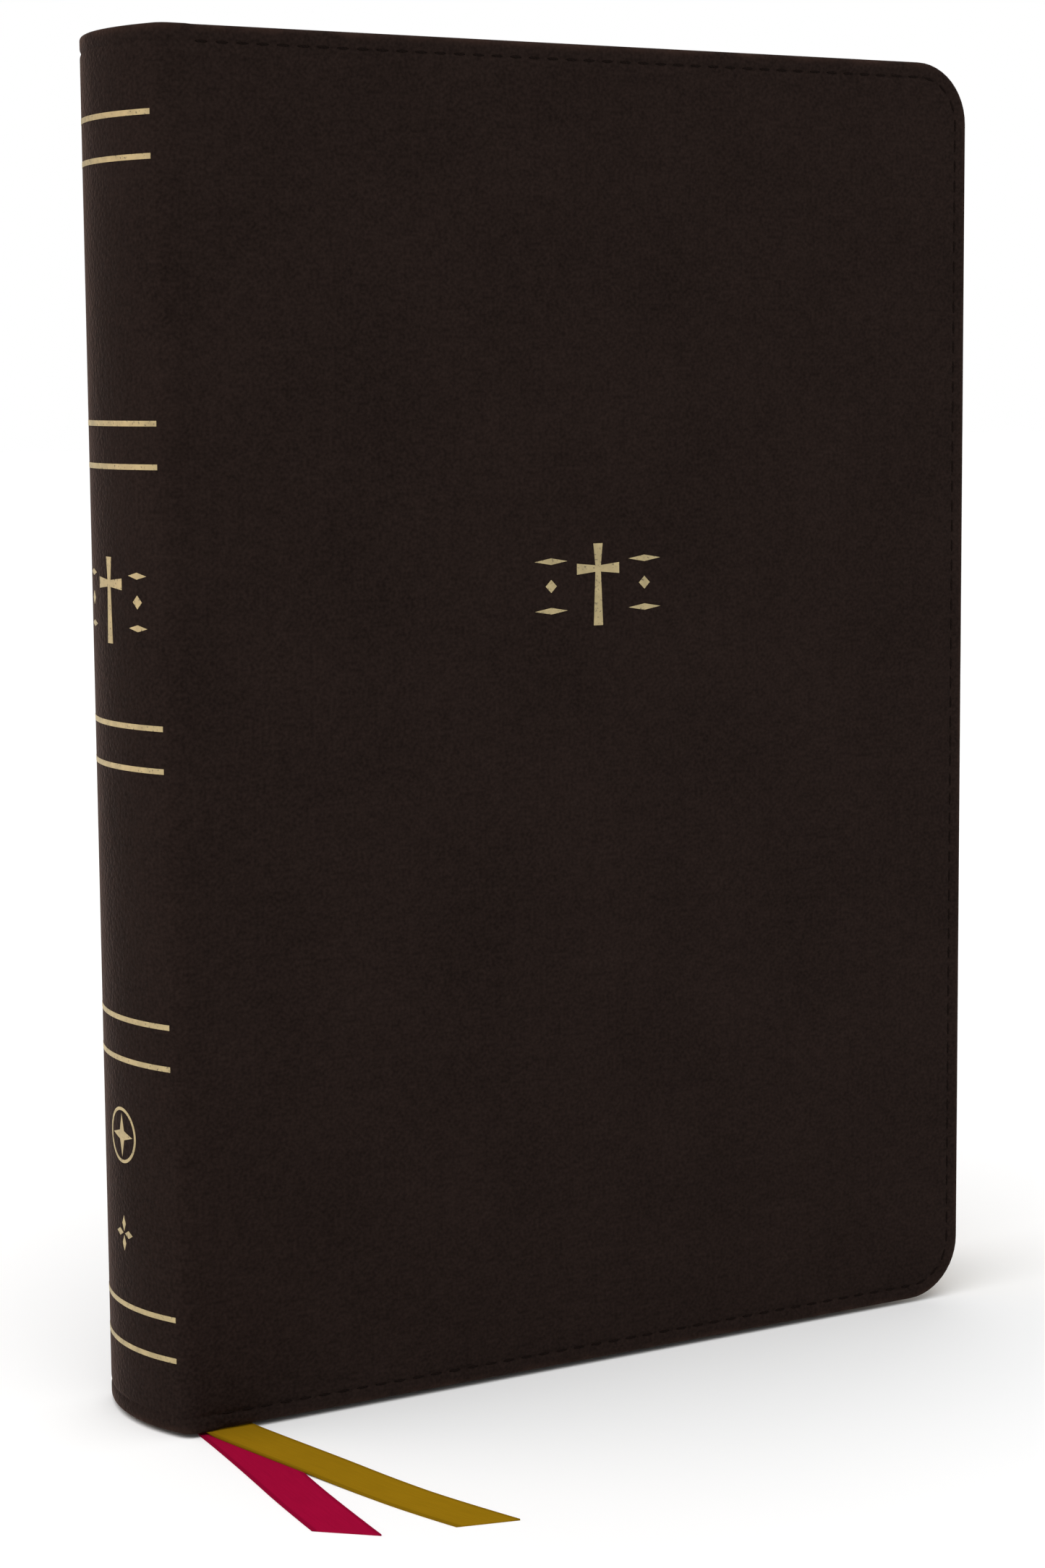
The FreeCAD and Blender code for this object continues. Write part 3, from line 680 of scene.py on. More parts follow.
def spread(low, high, step):
    """Even steps from low to high, each no longer than step."""
    count = max(1, math.ceil((high - low) / step))
    return [low + (high - low) * index / count for index in range(count + 1)]


# --- Case --------------------------------------------------------------------------------------
def case_point(side, run, height, depth):
    """Point a depth under the case's outer face.

    The run is measured along the skin from one cover's hinge line: towards the fore-edge if it
    is positive, round the shoulder and the spine if it is negative.
    """
    if run < -WHOLE_SPINE_RUN / 2:
        return case_point(-side, -WHOLE_SPINE_RUN - run, height, depth)
    if run >= 0:
        return HINGE_X + run, side * (HALF_THICKNESS - depth), height
    if run >= -SHOULDER_RUN:
        angle = -run / SHOULDER_RADIUS
        reach = SHOULDER_RADIUS - depth
        return (HINGE_X - reach * math.sin(angle), side * (SHOULDER_Y + reach * math.cos(angle)),
                height)
    angle = SHOULDER_ANGLE + (run + SHOULDER_RUN) / SPINE_RADIUS
    reach = SPINE_RADIUS - depth
    return SPINE_CENTRE_X - reach * math.cos(angle), side * reach * math.sin(angle), height


def from_hinge(run):
    """The run measured from the nearer hinge line."""
    return run if run >= -WHOLE_SPINE_RUN / 2 else -WHOLE_SPINE_RUN - run


def wall(run):
    """Thickness of the case: spine, bare joint, cover."""
    near = from_hinge(run)
    if near < 0:
        share = smoothstep(near, -PARED_RUN - SHOULDER_RUN, -PARED_RUN)
        return SPINE_WALL + (JOINT_WALL - SPINE_WALL) * share
    return JOINT_WALL + (COVER_WALL - JOINT_WALL) * smoothstep(near, *BOARD_RUN)


def unevenness(side, run, height):
    """How far the soft cover's face wanders inwards, fading out at its edges.

    The swell is three waves 55 to 300 mm long that cross each other.
    """
    near = from_hinge(run)
    if near <= 0:
        return 0.0
    edge = min(COVER_RUN - near, height - CASE_LOW, CASE_HIGH - height, near)
    swell = (math.sin(near * 0.047 + 0.9 * side) * math.sin(height * 0.031 + 0.4)
             + 0.6 * math.sin(near * 0.083 - height * 0.052 + 1.3 * side)
             + 0.35 * math.sin(near * 0.021 + height * 0.113))
    depth = bpy.context.scene.bible_case.unevenness / MM
    return depth * (0.5 + 0.25 * swell) * smoothstep(edge, 4.0, 26.0)


def skin_depth(side, run, height, inset):
    """Depth of the outer face: rounded at the edge, pressed in along the crease."""
    half_wall = wall(run) / 2
    depth = unevenness(side, run, height)
    if inset < half_wall:
        depth += half_wall - math.sqrt(half_wall ** 2 - (half_wall - inset) ** 2)
    dip = (inset - CREASE_INSET) / CREASE_WIDTH
    return depth + CREASE_DEPTH * math.exp(-dip * dip)


def inner_depth(run, inset):
    """Depth of the inner face, rounded at the same edge."""
    thickness = wall(run)
    half_wall = thickness / 2
    if inset >= half_wall:
        return thickness
    return thickness - half_wall + math.sqrt(half_wall ** 2 - (half_wall - inset) ** 2)


def border_line(inset, runs, angle_step, heights):
    """(run, height) along a cover's border, from its tail, round the fore-edge, to its head."""
    radius = CORNER_RADIUS - inset
    turns = [math.radians(angle) for angle in spread(-90.0, 0.0, angle_step)]
    low = [(run, CASE_LOW + inset) for run in runs[:-1]]
    low += [(COVER_RUN - CORNER_RADIUS + radius * math.cos(turn),
             CASE_LOW + CORNER_RADIUS + radius * math.sin(turn)) for turn in turns]
    side = [(COVER_RUN - inset, height) for height in heights[1:-1]]
    return low + side + [(run, CASE_LOW + CASE_HIGH - height) for run, height in reversed(low)]


def make_case_side(name, side, first_run, nodes):
    """One cover with the leather that leads to it, as one closed skin."""
    shoulder_step, joint_step, spine_step, flat_step, corner_step = 0.45, 0.4, 0.8, 4.0, 7.5
    joint_end, shortest = 6.0, 0.1
    runs = spread(0.0, joint_end, joint_step)
    runs += spread(joint_end, COVER_RUN - CORNER_RADIUS, flat_step)[1:]
    if first_run < 0:
        shoulder = spread(-SHOULDER_RUN, 0.0, shoulder_step)
        far_shoulder = [-WHOLE_SPINE_RUN - run for run in reversed(shoulder)]
        spine = spread(far_shoulder[-1], shoulder[0], spine_step)
        runs = [first_run] + far_shoulder + spine[1:-1] + shoulder[:-1] + runs
    else:
        runs = [first_run] + [run for run in runs if run > first_run + shortest]
    heights = spread(*FLAT_HEIGHTS, flat_step)
    skin = Skin()

    def outer_point(run, height, inset):
        depth = skin_depth(side, run, height, inset)
        return skin.add(case_point(side, run, height, depth), (run, height),
                        1.0 - smoothstep(inset, *RUBBED_INSETS))

    def inner_point(run, height, inset):
        return skin.add(case_point(side, run, height, inner_depth(run, inset)), (run, height))

    def rows_of_points(make_point, rows):
        return [[make_point(*place) for place in row] for row in rows]

    # Both faces are rings of (run, height, inset) round the border, with a flat grid inside them.
    rings = [[(run, height, inset)
              for run, height in border_line(inset, runs, corner_step, heights)]
             for inset in RING_INSETS]
    flat = [[(run, height, max(RING_INSETS[-1],
                               min(height - CASE_LOW, CASE_HIGH - height, COVER_RUN - run)))
             for run in runs] for height in heights]
    outer, inner = rows_of_points(outer_point, rings), rows_of_points(inner_point, rings)
    outer_flat, inner_flat = rows_of_points(outer_point, flat), rows_of_points(inner_point, flat)
    for rows in (outer, inner, outer_flat, inner_flat):
        skin.sheet(rows)
    # Close the end where this skin meets the other cover's.
    skin.strip(*([row[0] for row in border + middle] + [row[-1] for row in reversed(border)]
                 for border, middle in ((outer, outer_flat), (inner, inner_flat))))
    piece = skin.build(name, [finish("cover_leather", cover_leather)], sharp=50.0)
    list(bend_zone(side))
    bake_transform(piece)
    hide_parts(*nodes)


def bend_place(side, run, out=0.0):
    """Point in metres, this far from a cover's hinge line and this far out from its face."""
    return ((HINGE_X + run) * MM, side * (HALF_THICKNESS + out) * MM,
            (CASE_LOW + CASE_HIGH) / 2 * MM)


def bend_zone(side):
    """Start and end of the zone in which the case bends at one joint."""
    if side == BACK:
        return bend_place(BACK, BACK_SEAM_RUN), bend_place(BACK, BACK_SEAM_RUN + BACK_BEND_RUN)
    reach = BEND_RUN * math.cos(BEND_TILT)
    end_run = BEND_START + reach * math.cos(BEND_TILT)
    return (bend_place(FRONT, BEND_START),
            bend_place(FRONT, end_run, reach * math.sin(BEND_TILT)))


class BIBLE_OT_case(bpy.types.Operator):
    """Make both covers and the rounded spine as soft leather skins"""
    bl_idname = "bible.case"
    bl_label = "Leather Case"

    def execute(self, context):
        make_case_side("front_case", FRONT, -WHOLE_SPINE_RUN - BACK_SEAM_RUN,
                       ("front_leather", "spine_leather"))
        make_case_side("back_case", BACK, BACK_SEAM_RUN, ("back_leather",))
        return {"FINISHED"}


# --- Stitching ---------------------------------------------------------------------------------
def crease_line(side):
    """Points in metres along the crease of one cover, from its tail to its head."""
    step, corner_step = 2.0, 9.0
    runs = spread(CREASE_START, COVER_RUN - CORNER_RADIUS, step)
    heights = spread(*FLAT_HEIGHTS, step)
    points = []
    for run, height in border_line(CREASE_INSET, runs, corner_step, heights):
        depth = skin_depth(side, run, height, CREASE_INSET)
        points.append([value * MM for value in case_point(side, run, height, depth)])
    return points


def make_stitches(name, side, body, node):
    """Row of thread stitches lying in a cover's crease."""
    case = bpy.context.scene.bible_case
    thread = finish("edge_thread", edge_thread)
    thread_width = 0.00046

    def build(nodes, given):
        line = nodes.node("GeometryNodeMeshToCurve", {}, {"Mesh": given.out("Geometry")})
        places = nodes.node("GeometryNodeCurveToPoints", {"mode": "LENGTH"},
                            {"Curve": line, "Length": given.out("Pitch")})
        ball = nodes.node("GeometryNodeMeshUVSphere", {},
                          {"Segments": 8, "Rings": 5, "Radius": 0.5})
        size = nodes.point(given.out("Length"), given.out("Thickness"), given.out("Thickness"))
        stitch = nodes.node("GeometryNodeTransform", {}, {"Geometry": ball, "Scale": size})
        turn = nodes.node("FunctionNodeAlignRotationToVector", {"axis": "X"},
                          {"Vector": places.out("Tangent")})
        return nodes.dressed(nodes.copies(places, stitch, turn), thread)

    line = crease_line(side)
    path = bpy.data.meshes.new(name + "_path")
    path.from_pydata(line, [(i, i + 1) for i in range(len(line) - 1)], [])
    piece = grown(name, build, {"Pitch": case.stitch_pitch, "Length": case.stitch_length,
                                "Thickness": thread_width}, sharp=180.0, holder_mesh=path)
    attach(piece, body)
    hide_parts(node)


class BIBLE_OT_stitching(bpy.types.Operator):
    """Make the edge stitches of both covers"""
    bl_idname = "bible.stitching"
    bl_label = "Edge Stitching"

    def execute(self, context):
        make_stitches("front_edge_stitches", FRONT, "front_cover", "front_stitching")
        make_stitches("back_edge_stitches", BACK, "back_cover", "back_stitching")
        return {"FINISHED"}


# --- Foil --------------------------------------------------------------------------------------
def cross_outline():
    """Latin cross with arms that widen a little, about the middle of its height."""
    bar, flare, arm, top = CROSS_BAR / 2, CROSS_FLARE / 2, CROSS_WIDTH / 2, ORNAMENT_HEIGHT / 2
    level = top - arm
    return [(bar, level + bar), (flare, top), (-flare, top), (-bar, level + bar),
            (-arm, level + flare), (-arm, level - flare), (-bar, level - bar),
            (-flare, -top), (flare, -top), (bar, level - bar), (arm, level - flare),
            (arm, level + flare)]


def lozenge(u, v, half_width, half_height):
    return [(u - half_width, v), (u, v - half_height), (u + half_width, v), (u, v + half_height)]


def title_outlines(half_width):
    """Cross between four tapered bars and two small lozenges."""
    start = CROSS_WIDTH / 2 + CROSS_FLARE
    half_bar = (half_width - start) / 2
    level = ORNAMENT_HEIGHT * ORNAMENT_BAR_SHARE
    outlines = [cross_outline()]
    for side in (-1, 1):
        middle = side * (start + half_bar)
        outlines += [lozenge(middle, v, half_bar, CROSS_BAR / 2) for v in (-level, level)]
        outlines.append(lozenge(middle, 0, CROSS_BAR, CROSS_BAR))
    return outlines


def polar(radius, angle):
    return radius * math.sin(angle), radius * math.cos(angle)


def medallion_outlines():
    """Ring, as segments side by side, round a four-pointed star."""
    outer, inner, segments = MEDALLION_RADIUS, MEDALLION_RADIUS - MEDALLION_RING, 48
    outlines = []
    for index in range(segments):
        first, last = [TURN * (index + step) / segments for step in (0, 1)]
        outlines.append([polar(outer, first), polar(outer, last), polar(inner, last),
                         polar(inner, first)])
    outlines.append([polar(STAR_RADIUS * (STAR_WAIST_SHARE if point % 2 else 1.0),
                           math.pi * point / STAR_POINTS) for point in range(2 * STAR_POINTS)])
    return outlines


def petal_outlines():
    """Four petals."""
    petal, waist = MARK_RADIUS / 2, MARK_RADIUS * PETAL_WAIST_SHARE
    long_half = petal - waist / 2
    upright = [lozenge(0, v, waist, long_half) for v in (petal, -petal)]
    return upright + [lozenge(u, 0, long_half, waist) for u in (-petal, petal)]


def make_foil(name, outlines, middle_run, middle_height, body, node):
    """Press flat outlines on to the case's skin as thin foil."""
    work = bmesh.new()
    for outline in outlines:
        work.faces.new([work.verts.new((u, v, 0.0)) for u, v in outline])
    bmesh.ops.remove_doubles(work, verts=work.verts, dist=1e-5)
    reach = max(abs(vert.co.x) for vert in work.verts)
    for cut in spread(-reach, reach, 1.0)[1:-1]:
        bmesh.ops.bisect_plane(work, geom=work.verts[:] + work.edges[:] + work.faces[:],
                               plane_co=(cut, 0, 0), plane_no=(1, 0, 0))
    bmesh.ops.triangulate(work, faces=[face for face in work.faces if len(face.verts) > 4])
    skin = Skin()
    top, bottom = {}, {}
    for lift, number in ((FOIL_LIFT, top), (-FOIL_SINK, bottom)):
        for vert in work.verts:
            run, height = middle_run + vert.co.x, CASE_LOW + middle_height + vert.co.y
            depth = unevenness(FRONT, run, height) - lift
            number[vert] = skin.add(case_point(FRONT, run, height, depth), (run, height))
    for face in work.faces:
        skin.face([top[vert] for vert in face.verts])
        skin.face([bottom[vert] for vert in reversed(face.verts)])
    for edge in work.edges:
        if len(edge.link_faces) == 1:
            first, last = edge.verts
            skin.face((top[first], top[last], bottom[last], bottom[first]))
    work.free()
    piece = skin.build(name, [finish("gold_foil", gold_foil)])
    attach(piece, body)
    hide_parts(node)


def make_rules():
    """Pairs of foil rules across the spine."""
    foil = bpy.context.scene.bible_foil
    gold = finish("gold_foil", gold_foil)

    def build(nodes, given):
        height, radius = given.out("Rule Height"), given.out("Spine Radius")
        length, lift = given.out("Rule Length"), given.out("Thickness")
        bar = nodes.node("GeometryNodeMeshCube", {},
                         {"Size": nodes.point(length, lift, height),
                          "Vertices X": 48, "Vertices Y": 2, "Vertices Z": 2})
        x, y, z = nodes.here()
        angle = x / radius
        reach = radius + y
        bent = nodes.point(given.out("Spine Centre") - reach * angle.cosine(),
                           reach * angle.sine(), z)
        rule = nodes.node("GeometryNodeSetPosition", {}, {"Geometry": bar, "Position": bent})
        pitch = given.out("Pair Pitch")
        lowest = given.out("Middle") - pitch * ((RULE_PAIRS - 1) / 2)
        rows = []
        for share in (-0.5, 0.5):
            start = nodes.point(0.0, 0.0, lowest + given.out("Pair Gap") * share)
            rows.append(nodes.node("GeometryNodeMeshLine", {"mode": "OFFSET"},
                                   {"Count": given.out("Pairs"), "Start Location": start,
                                    "Offset": nodes.point(0.0, 0.0, pitch)}))
        return nodes.dressed(nodes.copies(nodes.joined(*rows), rule), gold)

    half_angle = math.asin((HALF_THICKNESS - RULE_END_INSET) / SPINE_RADIUS)
    sizes = {"Rule Height": foil.rule_height, "Pair Gap": foil.pair_gap,
             "Pair Pitch": foil.pair_pitch, "Pairs": RULE_PAIRS, "Thickness": 2 * FOIL_LIFT * MM,
             "Spine Radius": SPINE_RADIUS * MM, "Spine Centre": SPINE_CENTRE_X * MM,
             "Rule Length": 2 * half_angle * SPINE_RADIUS * MM,
             "Middle": (CASE_LOW + RULES_LEVEL) * MM}
    piece = grown("spine_foil_rules", build, sizes)
    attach(piece, "root")
    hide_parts("spine_rules")


class BIBLE_OT_foil(bpy.types.Operator):
    """Press the foil rules and ornaments on the case"""
    bl_idname = "bible.foil"
    bl_label = "Foil Tooling"

    def execute(self, context):
        make_rules()
        spine_middle = -WHOLE_SPINE_RUN / 2
        make_foil("front_foil_cross", title_outlines(FRONT_HALF_WIDTH), COVER_MIDDLE_RUN,
                  ORNAMENT_LEVEL, "front_cover", "front_ornament")
        make_foil("spine_foil_cross", title_outlines(SPINE_HALF_WIDTH), spine_middle,
                  ORNAMENT_LEVEL, "root", "spine_ornament")
        make_foil("spine_foil_star", medallion_outlines(), spine_middle, MEDALLION_LEVEL, "root",
                  "spine_medallion")
        make_foil("spine_foil_petals", petal_outlines(), spine_middle, MARK_LEVEL, "root",
                  "spine_mark")
        return {"FINISHED"}


# --- Leaves ------------------------------------------------------------------------------------
def back_x(y):
    """Where the backs of the leaves lie at depth y."""
    return SPINE_CENTRE_X - math.sqrt(LEAF_BACK_RADIUS ** 2 - y ** 2)


LEAF_WIDTH = leaf_high[0] - back_x(LEAF_FRONT_Y)


def add_sheet(skin, line, thickness, low, high, corner, rows, edge_finish=1):
    """Thin sheet whose line is given from above, with its two far corners rounded."""
    end_x = line[-1][0]
    front, back = [], []
    for index, (x, y) in enumerate(line):
        before, after = line[max(index - 1, 0)], line[min(index + 1, len(line) - 1)]
        along = (Vector(after) - Vector(before)).normalized()
        normal = Vector((along.y, -along.x)) * (thickness / 2)
        beyond = min(max(x - (end_x - corner), 0.0), corner)
        cut = corner - math.sqrt(corner ** 2 - beyond ** 2)
        heights = [low + cut + (high - low - 2 * cut) * row / rows for row in range(rows + 1)]
        front.append([skin.add((x + normal.x, y + normal.y, z), (x, z)) for z in heights])
        back.append([skin.add((x - normal.x, y - normal.y, z), (x, z)) for z in heights])
    for columns in (front, back):
        skin.sheet(columns)
    for row in (0, -1):
        skin.strip([column[row] for column in front], [column[row] for column in back],
                   edge_finish)
    for column in (0, -1):
        skin.strip(front[column], back[column], edge_finish)


def corner_steps(end_x, corner):
    """Places along a rounded corner, closer together towards its end."""
    return [end_x - corner * (1 - math.sin(math.radians(angle)))
            for angle in spread(0.0, 90.0, 10.0)]


def wobble(number, seed):
    """Repeatable unevenness from -1 to 1."""
    return math.sin(number * 12.9898 + seed * 4.1414) * math.cos(number * 7.233 + seed)


def make_turning_leaves():
    """Leaves of the stacks beside each cover, each from its sewn back edge to the fore-edge."""
    leaves = bpy.context.scene.bible_leaves
    jitter = leaves.jitter / MM
    gilt = finish("gilt_edge", gilt_edge)
    fold_start, fold_step, flat_step, rows = -0.4, 0.8, 30.0, 6
    begun = {FRONT: -LEAF_FRONT_Y, BACK: -LEAF_FRONT_Y}
    for place, (name, thickness, gutter, side) in enumerate(TURNING_STACKS):
        skin = Skin()
        for slab in range(round(thickness / SLAB)):
            y = side * (begun[side] - (slab + 0.5) * SLAB)
            number = place * 10 + slab
            start_x = back_x(y)
            end_x = start_x + LEAF_WIDTH + jitter * wobble(number, leaves.seed)
            lift = jitter * wobble(number, leaves.seed + 3)
            xs = [start_x] + spread(HINGE_X + fold_start, HINGE_X + gutter + 1, fold_step)
            xs += spread(xs[-1], end_x - PAGE_CORNER, flat_step)[1:-1]
            xs += corner_steps(end_x, PAGE_CORNER)
            add_sheet(skin, [(x, y) for x in xs], SLAB - SLAB_GAP, LEAF_LOW + SHEET_INSET + lift,
                      LEAF_HIGH - SHEET_INSET + lift, PAGE_CORNER, rows)
        if name.endswith("flyleaf"):
            face = finish("endpaper", endpaper)
        elif name == "title_leaves":
            face = finish("plain_paper", bible_paper, False)
        else:
            face = finish("printed_paper", bible_paper, True)
        piece = skin.build(name + "_sheets", [face, gilt])
        axis_y = side * begun[side]
        begun[side] -= thickness
        axis_y * MM
        axis_y * MM
        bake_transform(piece)
        stands_for = (name, *BOUND_MARGINS.get(name, ()))
        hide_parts(*stands_for)


def make_block():
    """The sewn block of leaves between the turning stacks."""
    leaves = bpy.context.scene.bible_leaves
    paper = finish("printed_paper", bible_paper, True)
    gilt = finish("gilt_edge", gilt_edge)

    def build(nodes, given):
        pitch = given.out("Pitch")
        line = nodes.node("GeometryNodeMeshLine", {"mode": "OFFSET"},
                          {"Count": given.out("Leaves"),
                           "Start Location": nodes.point(0.0, given.out("First"), 0.0),
                           "Offset": nodes.point(0.0, pitch, 0.0)})
        x, y, z = nodes.here()
        radius = given.out("Back Radius")
        back = given.out("Spine Centre") - (radius * radius - y * y).root()
        shifts = []
        for step in (0, 1):
            chance = nodes.node("FunctionNodeRandomValue", {"data_type": "FLOAT"},
                                {"Min": -1.0, "Max": 1.0, "Seed": given.out("Seed") + step})
            shifts.append(chance * given.out("Unevenness"))
        moved = nodes.node("GeometryNodeSetPosition", {},
                           {"Geometry": line,
                            "Offset": nodes.point(back + shifts[0], 0.0, shifts[1])})
        width, height = given.out("Width"), given.out("Height")
        outline = nodes.node("GeometryNodeCurvePrimitiveQuadrilateral", {},
                             {"Width": width, "Height": height})
        rounded = nodes.node("GeometryNodeFilletCurve", {"mode": "POLY"},
                             {"Curve": outline, "Count": 8,
                              "Radius": (x > 0.0) * given.out("Corner")})
        face = nodes.node("GeometryNodeFillCurve", {"mode": "NGONS"}, {"Curve": rounded})
        upright = nodes.node("GeometryNodeTransform", {},
                             {"Geometry": face, "Rotation": (math.pi / 2, 0.0, 0.0),
                              "Translation": nodes.point(width * 0.5, pitch * (SLAB_SHARE / 2),
                                                         given.out("Middle"))})
        slab = nodes.node("GeometryNodeExtrudeMesh", {"mode": "FACES"},
                          {"Mesh": upright, "Offset": nodes.point(0.0, pitch * -SLAB_SHARE, 0.0),
                           "Individual": False})
        rear = nodes.node("GeometryNodeFlipFaces", {}, {"Mesh": upright})
        leaf = nodes.node("GeometryNodeMergeByDistance", {},
                          {"Geometry": nodes.joined(slab, rear), "Distance": 0.000001})
        mapped = nodes.node("GeometryNodeStoreNamedAttribute",
                            {"data_type": "FLOAT2", "domain": "CORNER"},
                            {"Geometry": nodes.copies(moved, leaf), "Name": SURFACE_MAP,
                             "Value": nodes.point(x, z, 0.0)})
        _, facing, _ = nodes.parts(nodes.node("GeometryNodeInputNormal"))
        return nodes.dressed(nodes.dressed(mapped, paper), gilt, facing.size() < 0.5)

    depth = BLOCK_BACK_Y - BLOCK_FRONT_Y
    count = round(depth / SLAB)
    pitch = depth / count
    sizes = {"Leaves": count, "Pitch": pitch * MM, "First": (BLOCK_FRONT_Y + pitch / 2) * MM,
             "Back Radius": LEAF_BACK_RADIUS * MM, "Spine Centre": SPINE_CENTRE_X * MM,
             "Width": LEAF_WIDTH * MM,
             "Height": (LEAF_HIGH - LEAF_LOW - 2 * SHEET_INSET) * MM,
             "Middle": (LEAF_HIGH + LEAF_LOW) / 2 * MM, "Corner": PAGE_CORNER * MM,
             "Unevenness": leaves.jitter, "Seed": leaves.seed}
    piece = grown("leaf_block", build, sizes)
    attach(piece, "root")
    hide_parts(*["gathering_%02d" % number for number in range(1, 13)])


def make_pastedown(name, side, node):
    """Endpaper from the corner of the leaves, across the joint, on to the inside of a cover."""
    joint_start, joint_end, joint_step, flat_step = -0.3, 5.4, 0.3, 30.0
    edge_x = FORE_EDGE_X - PASTEDOWN_MARGIN
    corner_run = COVER_RUN - PASTEDOWN_MARGIN - PASTEDOWN_CORNER
    under = 0.11                       # its middle lies this far under the case's inner face
    line = list(PASTEDOWN_START)
    for run in (spread(joint_start, joint_end, joint_step)
                + spread(joint_end, corner_run, flat_step)[1:-1]):
        line.append(case_point(FRONT, run, 0.0, wall(run) + under)[:2])
    line += [(x, line[-1][1]) for x in corner_steps(edge_x, PASTEDOWN_CORNER)]
    skin = Skin()
    add_sheet(skin, [(x, -side * y) for x, y in line], PASTEDOWN_THICKNESS,
              CASE_LOW + PASTEDOWN_MARGIN, CASE_HIGH - PASTEDOWN_MARGIN, PASTEDOWN_CORNER, 8,
              edge_finish=0)
    piece = skin.build(name, [finish("endpaper", endpaper)])
    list(bend_zone(side))
    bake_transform(piece)
    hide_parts(node)


class BIBLE_OT_leaves(bpy.types.Operator):
    """Make the block of leaves, the stacks of leaves beside the covers, and the endpapers"""
    bl_idname = "bible.leaves"
    bl_label = "Leaves and Endpapers"

    def execute(self, context):
        make_block()
        make_turning_leaves()
        make_pastedown("front_endpaper", FRONT, "front_pastedown")
        make_pastedown("back_endpaper", BACK, "back_pastedown")
        return {"FINISHED"}


# --- Bands -------------------------------------------------------------------------------------
def make_band(name, node):
    """Core wrapped side by side with thread of two colours, along the backs of the leaves."""
    band = bpy.context.scene.bible_bands
    silk = finish("band_silk", band_silk, band.silk)
    second_silk = finish("band_silk_second", band_silk, band.second_silk)
    thread_radius, wrap_tilt, end_inset = 0.24, 0.10, 0.4

    def build(nodes, given):
        half = given.out("Half Angle")
        arc = nodes.node("GeometryNodeCurveArc", {"mode": "RADIUS"},
                         {"Resolution": 40, "Radius": given.out("Arc Radius"),
                          "Start Angle": math.pi - half, "Sweep Angle": half * 2.0})
        place = nodes.point(given.out("Spine Centre"), 0.0, given.out("Level"))
        line = nodes.node("GeometryNodeTransform", {}, {"Geometry": arc, "Translation": place})
        bead, thread = given.out("Bead Radius"), given.out("Thread Radius")
        inside, ring, section = [
            nodes.node("GeometryNodeCurvePrimitiveCircle", {"mode": "RADIUS"},
                       {"Resolution": sides, "Radius": radius})
            for sides, radius in ((12, bead - thread * 1.6), (14, bead - thread), (6, thread))]
        core = nodes.node("GeometryNodeCurveToMesh", {},
                          {"Curve": line, "Profile Curve": inside, "Fill Caps": True})
        wrap = nodes.node("GeometryNodeCurveToMesh", {}, {"Curve": ring, "Profile Curve": section})
        places = nodes.node("GeometryNodeCurveToPoints", {"mode": "COUNT"},
                            {"Curve": line, "Count": given.out("Wraps")})
        turn = nodes.node("FunctionNodeAlignRotationToVector", {"axis": "Z"},
                          {"Vector": places.out("Tangent")})
        tilt = nodes.node("FunctionNodeRotateRotation", {"rotation_space": "LOCAL"},
                          {"Rotation": turn, "Rotate By": (0.0, wrap_tilt, 0.0)})
        marked = nodes.node("GeometryNodeStoreNamedAttribute",
                            {"data_type": "FLOAT", "domain": "POINT"},
                            {"Geometry": places, "Name": "colour",
                             "Value": nodes.node("GeometryNodeInputIndex").remainder(2.0)})
        colour = nodes.node("GeometryNodeInputNamedAttribute", {"data_type": "FLOAT"},
                            {"Name": "colour"})
        wraps = nodes.dressed(nodes.copies(marked, wrap, tilt), silk)
        return nodes.joined(nodes.dressed(core, second_silk),
                            nodes.dressed(wraps, second_silk, colour > 0.5))

    low, high = node_box(node)
    bead = (high[2] - low[2]) / 2
    arc_radius = SPINE_CENTRE_X - low[0] - bead
    sizes = {"Arc Radius": arc_radius * MM,
             "Half Angle": math.asin((high[1] - end_inset) / arc_radius),
             "Bead Radius": bead * MM, "Thread Radius": thread_radius * MM, "Wraps": band.wraps,
             "Spine Centre": SPINE_CENTRE_X * MM, "Level": (low[2] + high[2]) / 2 * MM}
    piece = grown(name, build, sizes, sharp=60.0)
    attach(piece, "root")
    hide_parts(node)


class BIBLE_OT_bands(bpy.types.Operator):
    """Wrap the headband and the tailband"""
    bl_idname = "bible.bands"
    bl_label = "Headband and Tailband"

    def execute(self, context):
        make_band("headband_wraps", "headband")
        make_band("tailband_wraps", "tailband")
        return {"FINISHED"}


# --- Ribbons -----------------------------------------------------------------------------------
def smooth_line(route):
    """Points, in metres, along the smooth curve that a route steers."""
    curve = bpy.data.curves.new("route", "CURVE")
    curve.dimensions = "3D"
    curve.resolution_u = 12
    spline = curve.splines.new("NURBS")
    spline.points.add(len(route) - 1)
    for point, place in zip(spline.points, route):
        point.co = (*place, 1.0)
    spline.order_u = 3
    spline.use_endpoint_u = True
    holder = bpy.data.objects.new("route", curve)
    bpy.context.scene.collection.objects.link(holder)
    bpy.context.view_layer.update()
    mesh = bpy.data.meshes.new_from_object(
        holder.evaluated_get(bpy.context.evaluated_depsgraph_get()))
    points = [vert.co.copy() for vert in mesh.vertices]
    bpy.data.objects.remove(holder)
    bpy.data.meshes.remove(mesh)
    bpy.data.curves.remove(curve)
    return points


def line_length(points):
    return sum((after - before).length for before, after in zip(points, points[1:]))


def shortened(path, cut):
    """The same line with a length cut off its far end."""
    kept = list(path)
    while (kept[-1] - kept[-2]).length < cut:
        cut -= (kept[-1] - kept[-2]).length
        kept.pop()
    kept[-1] = kept[-1] + (kept[-2] - kept[-1]).normalized() * cut
    return kept


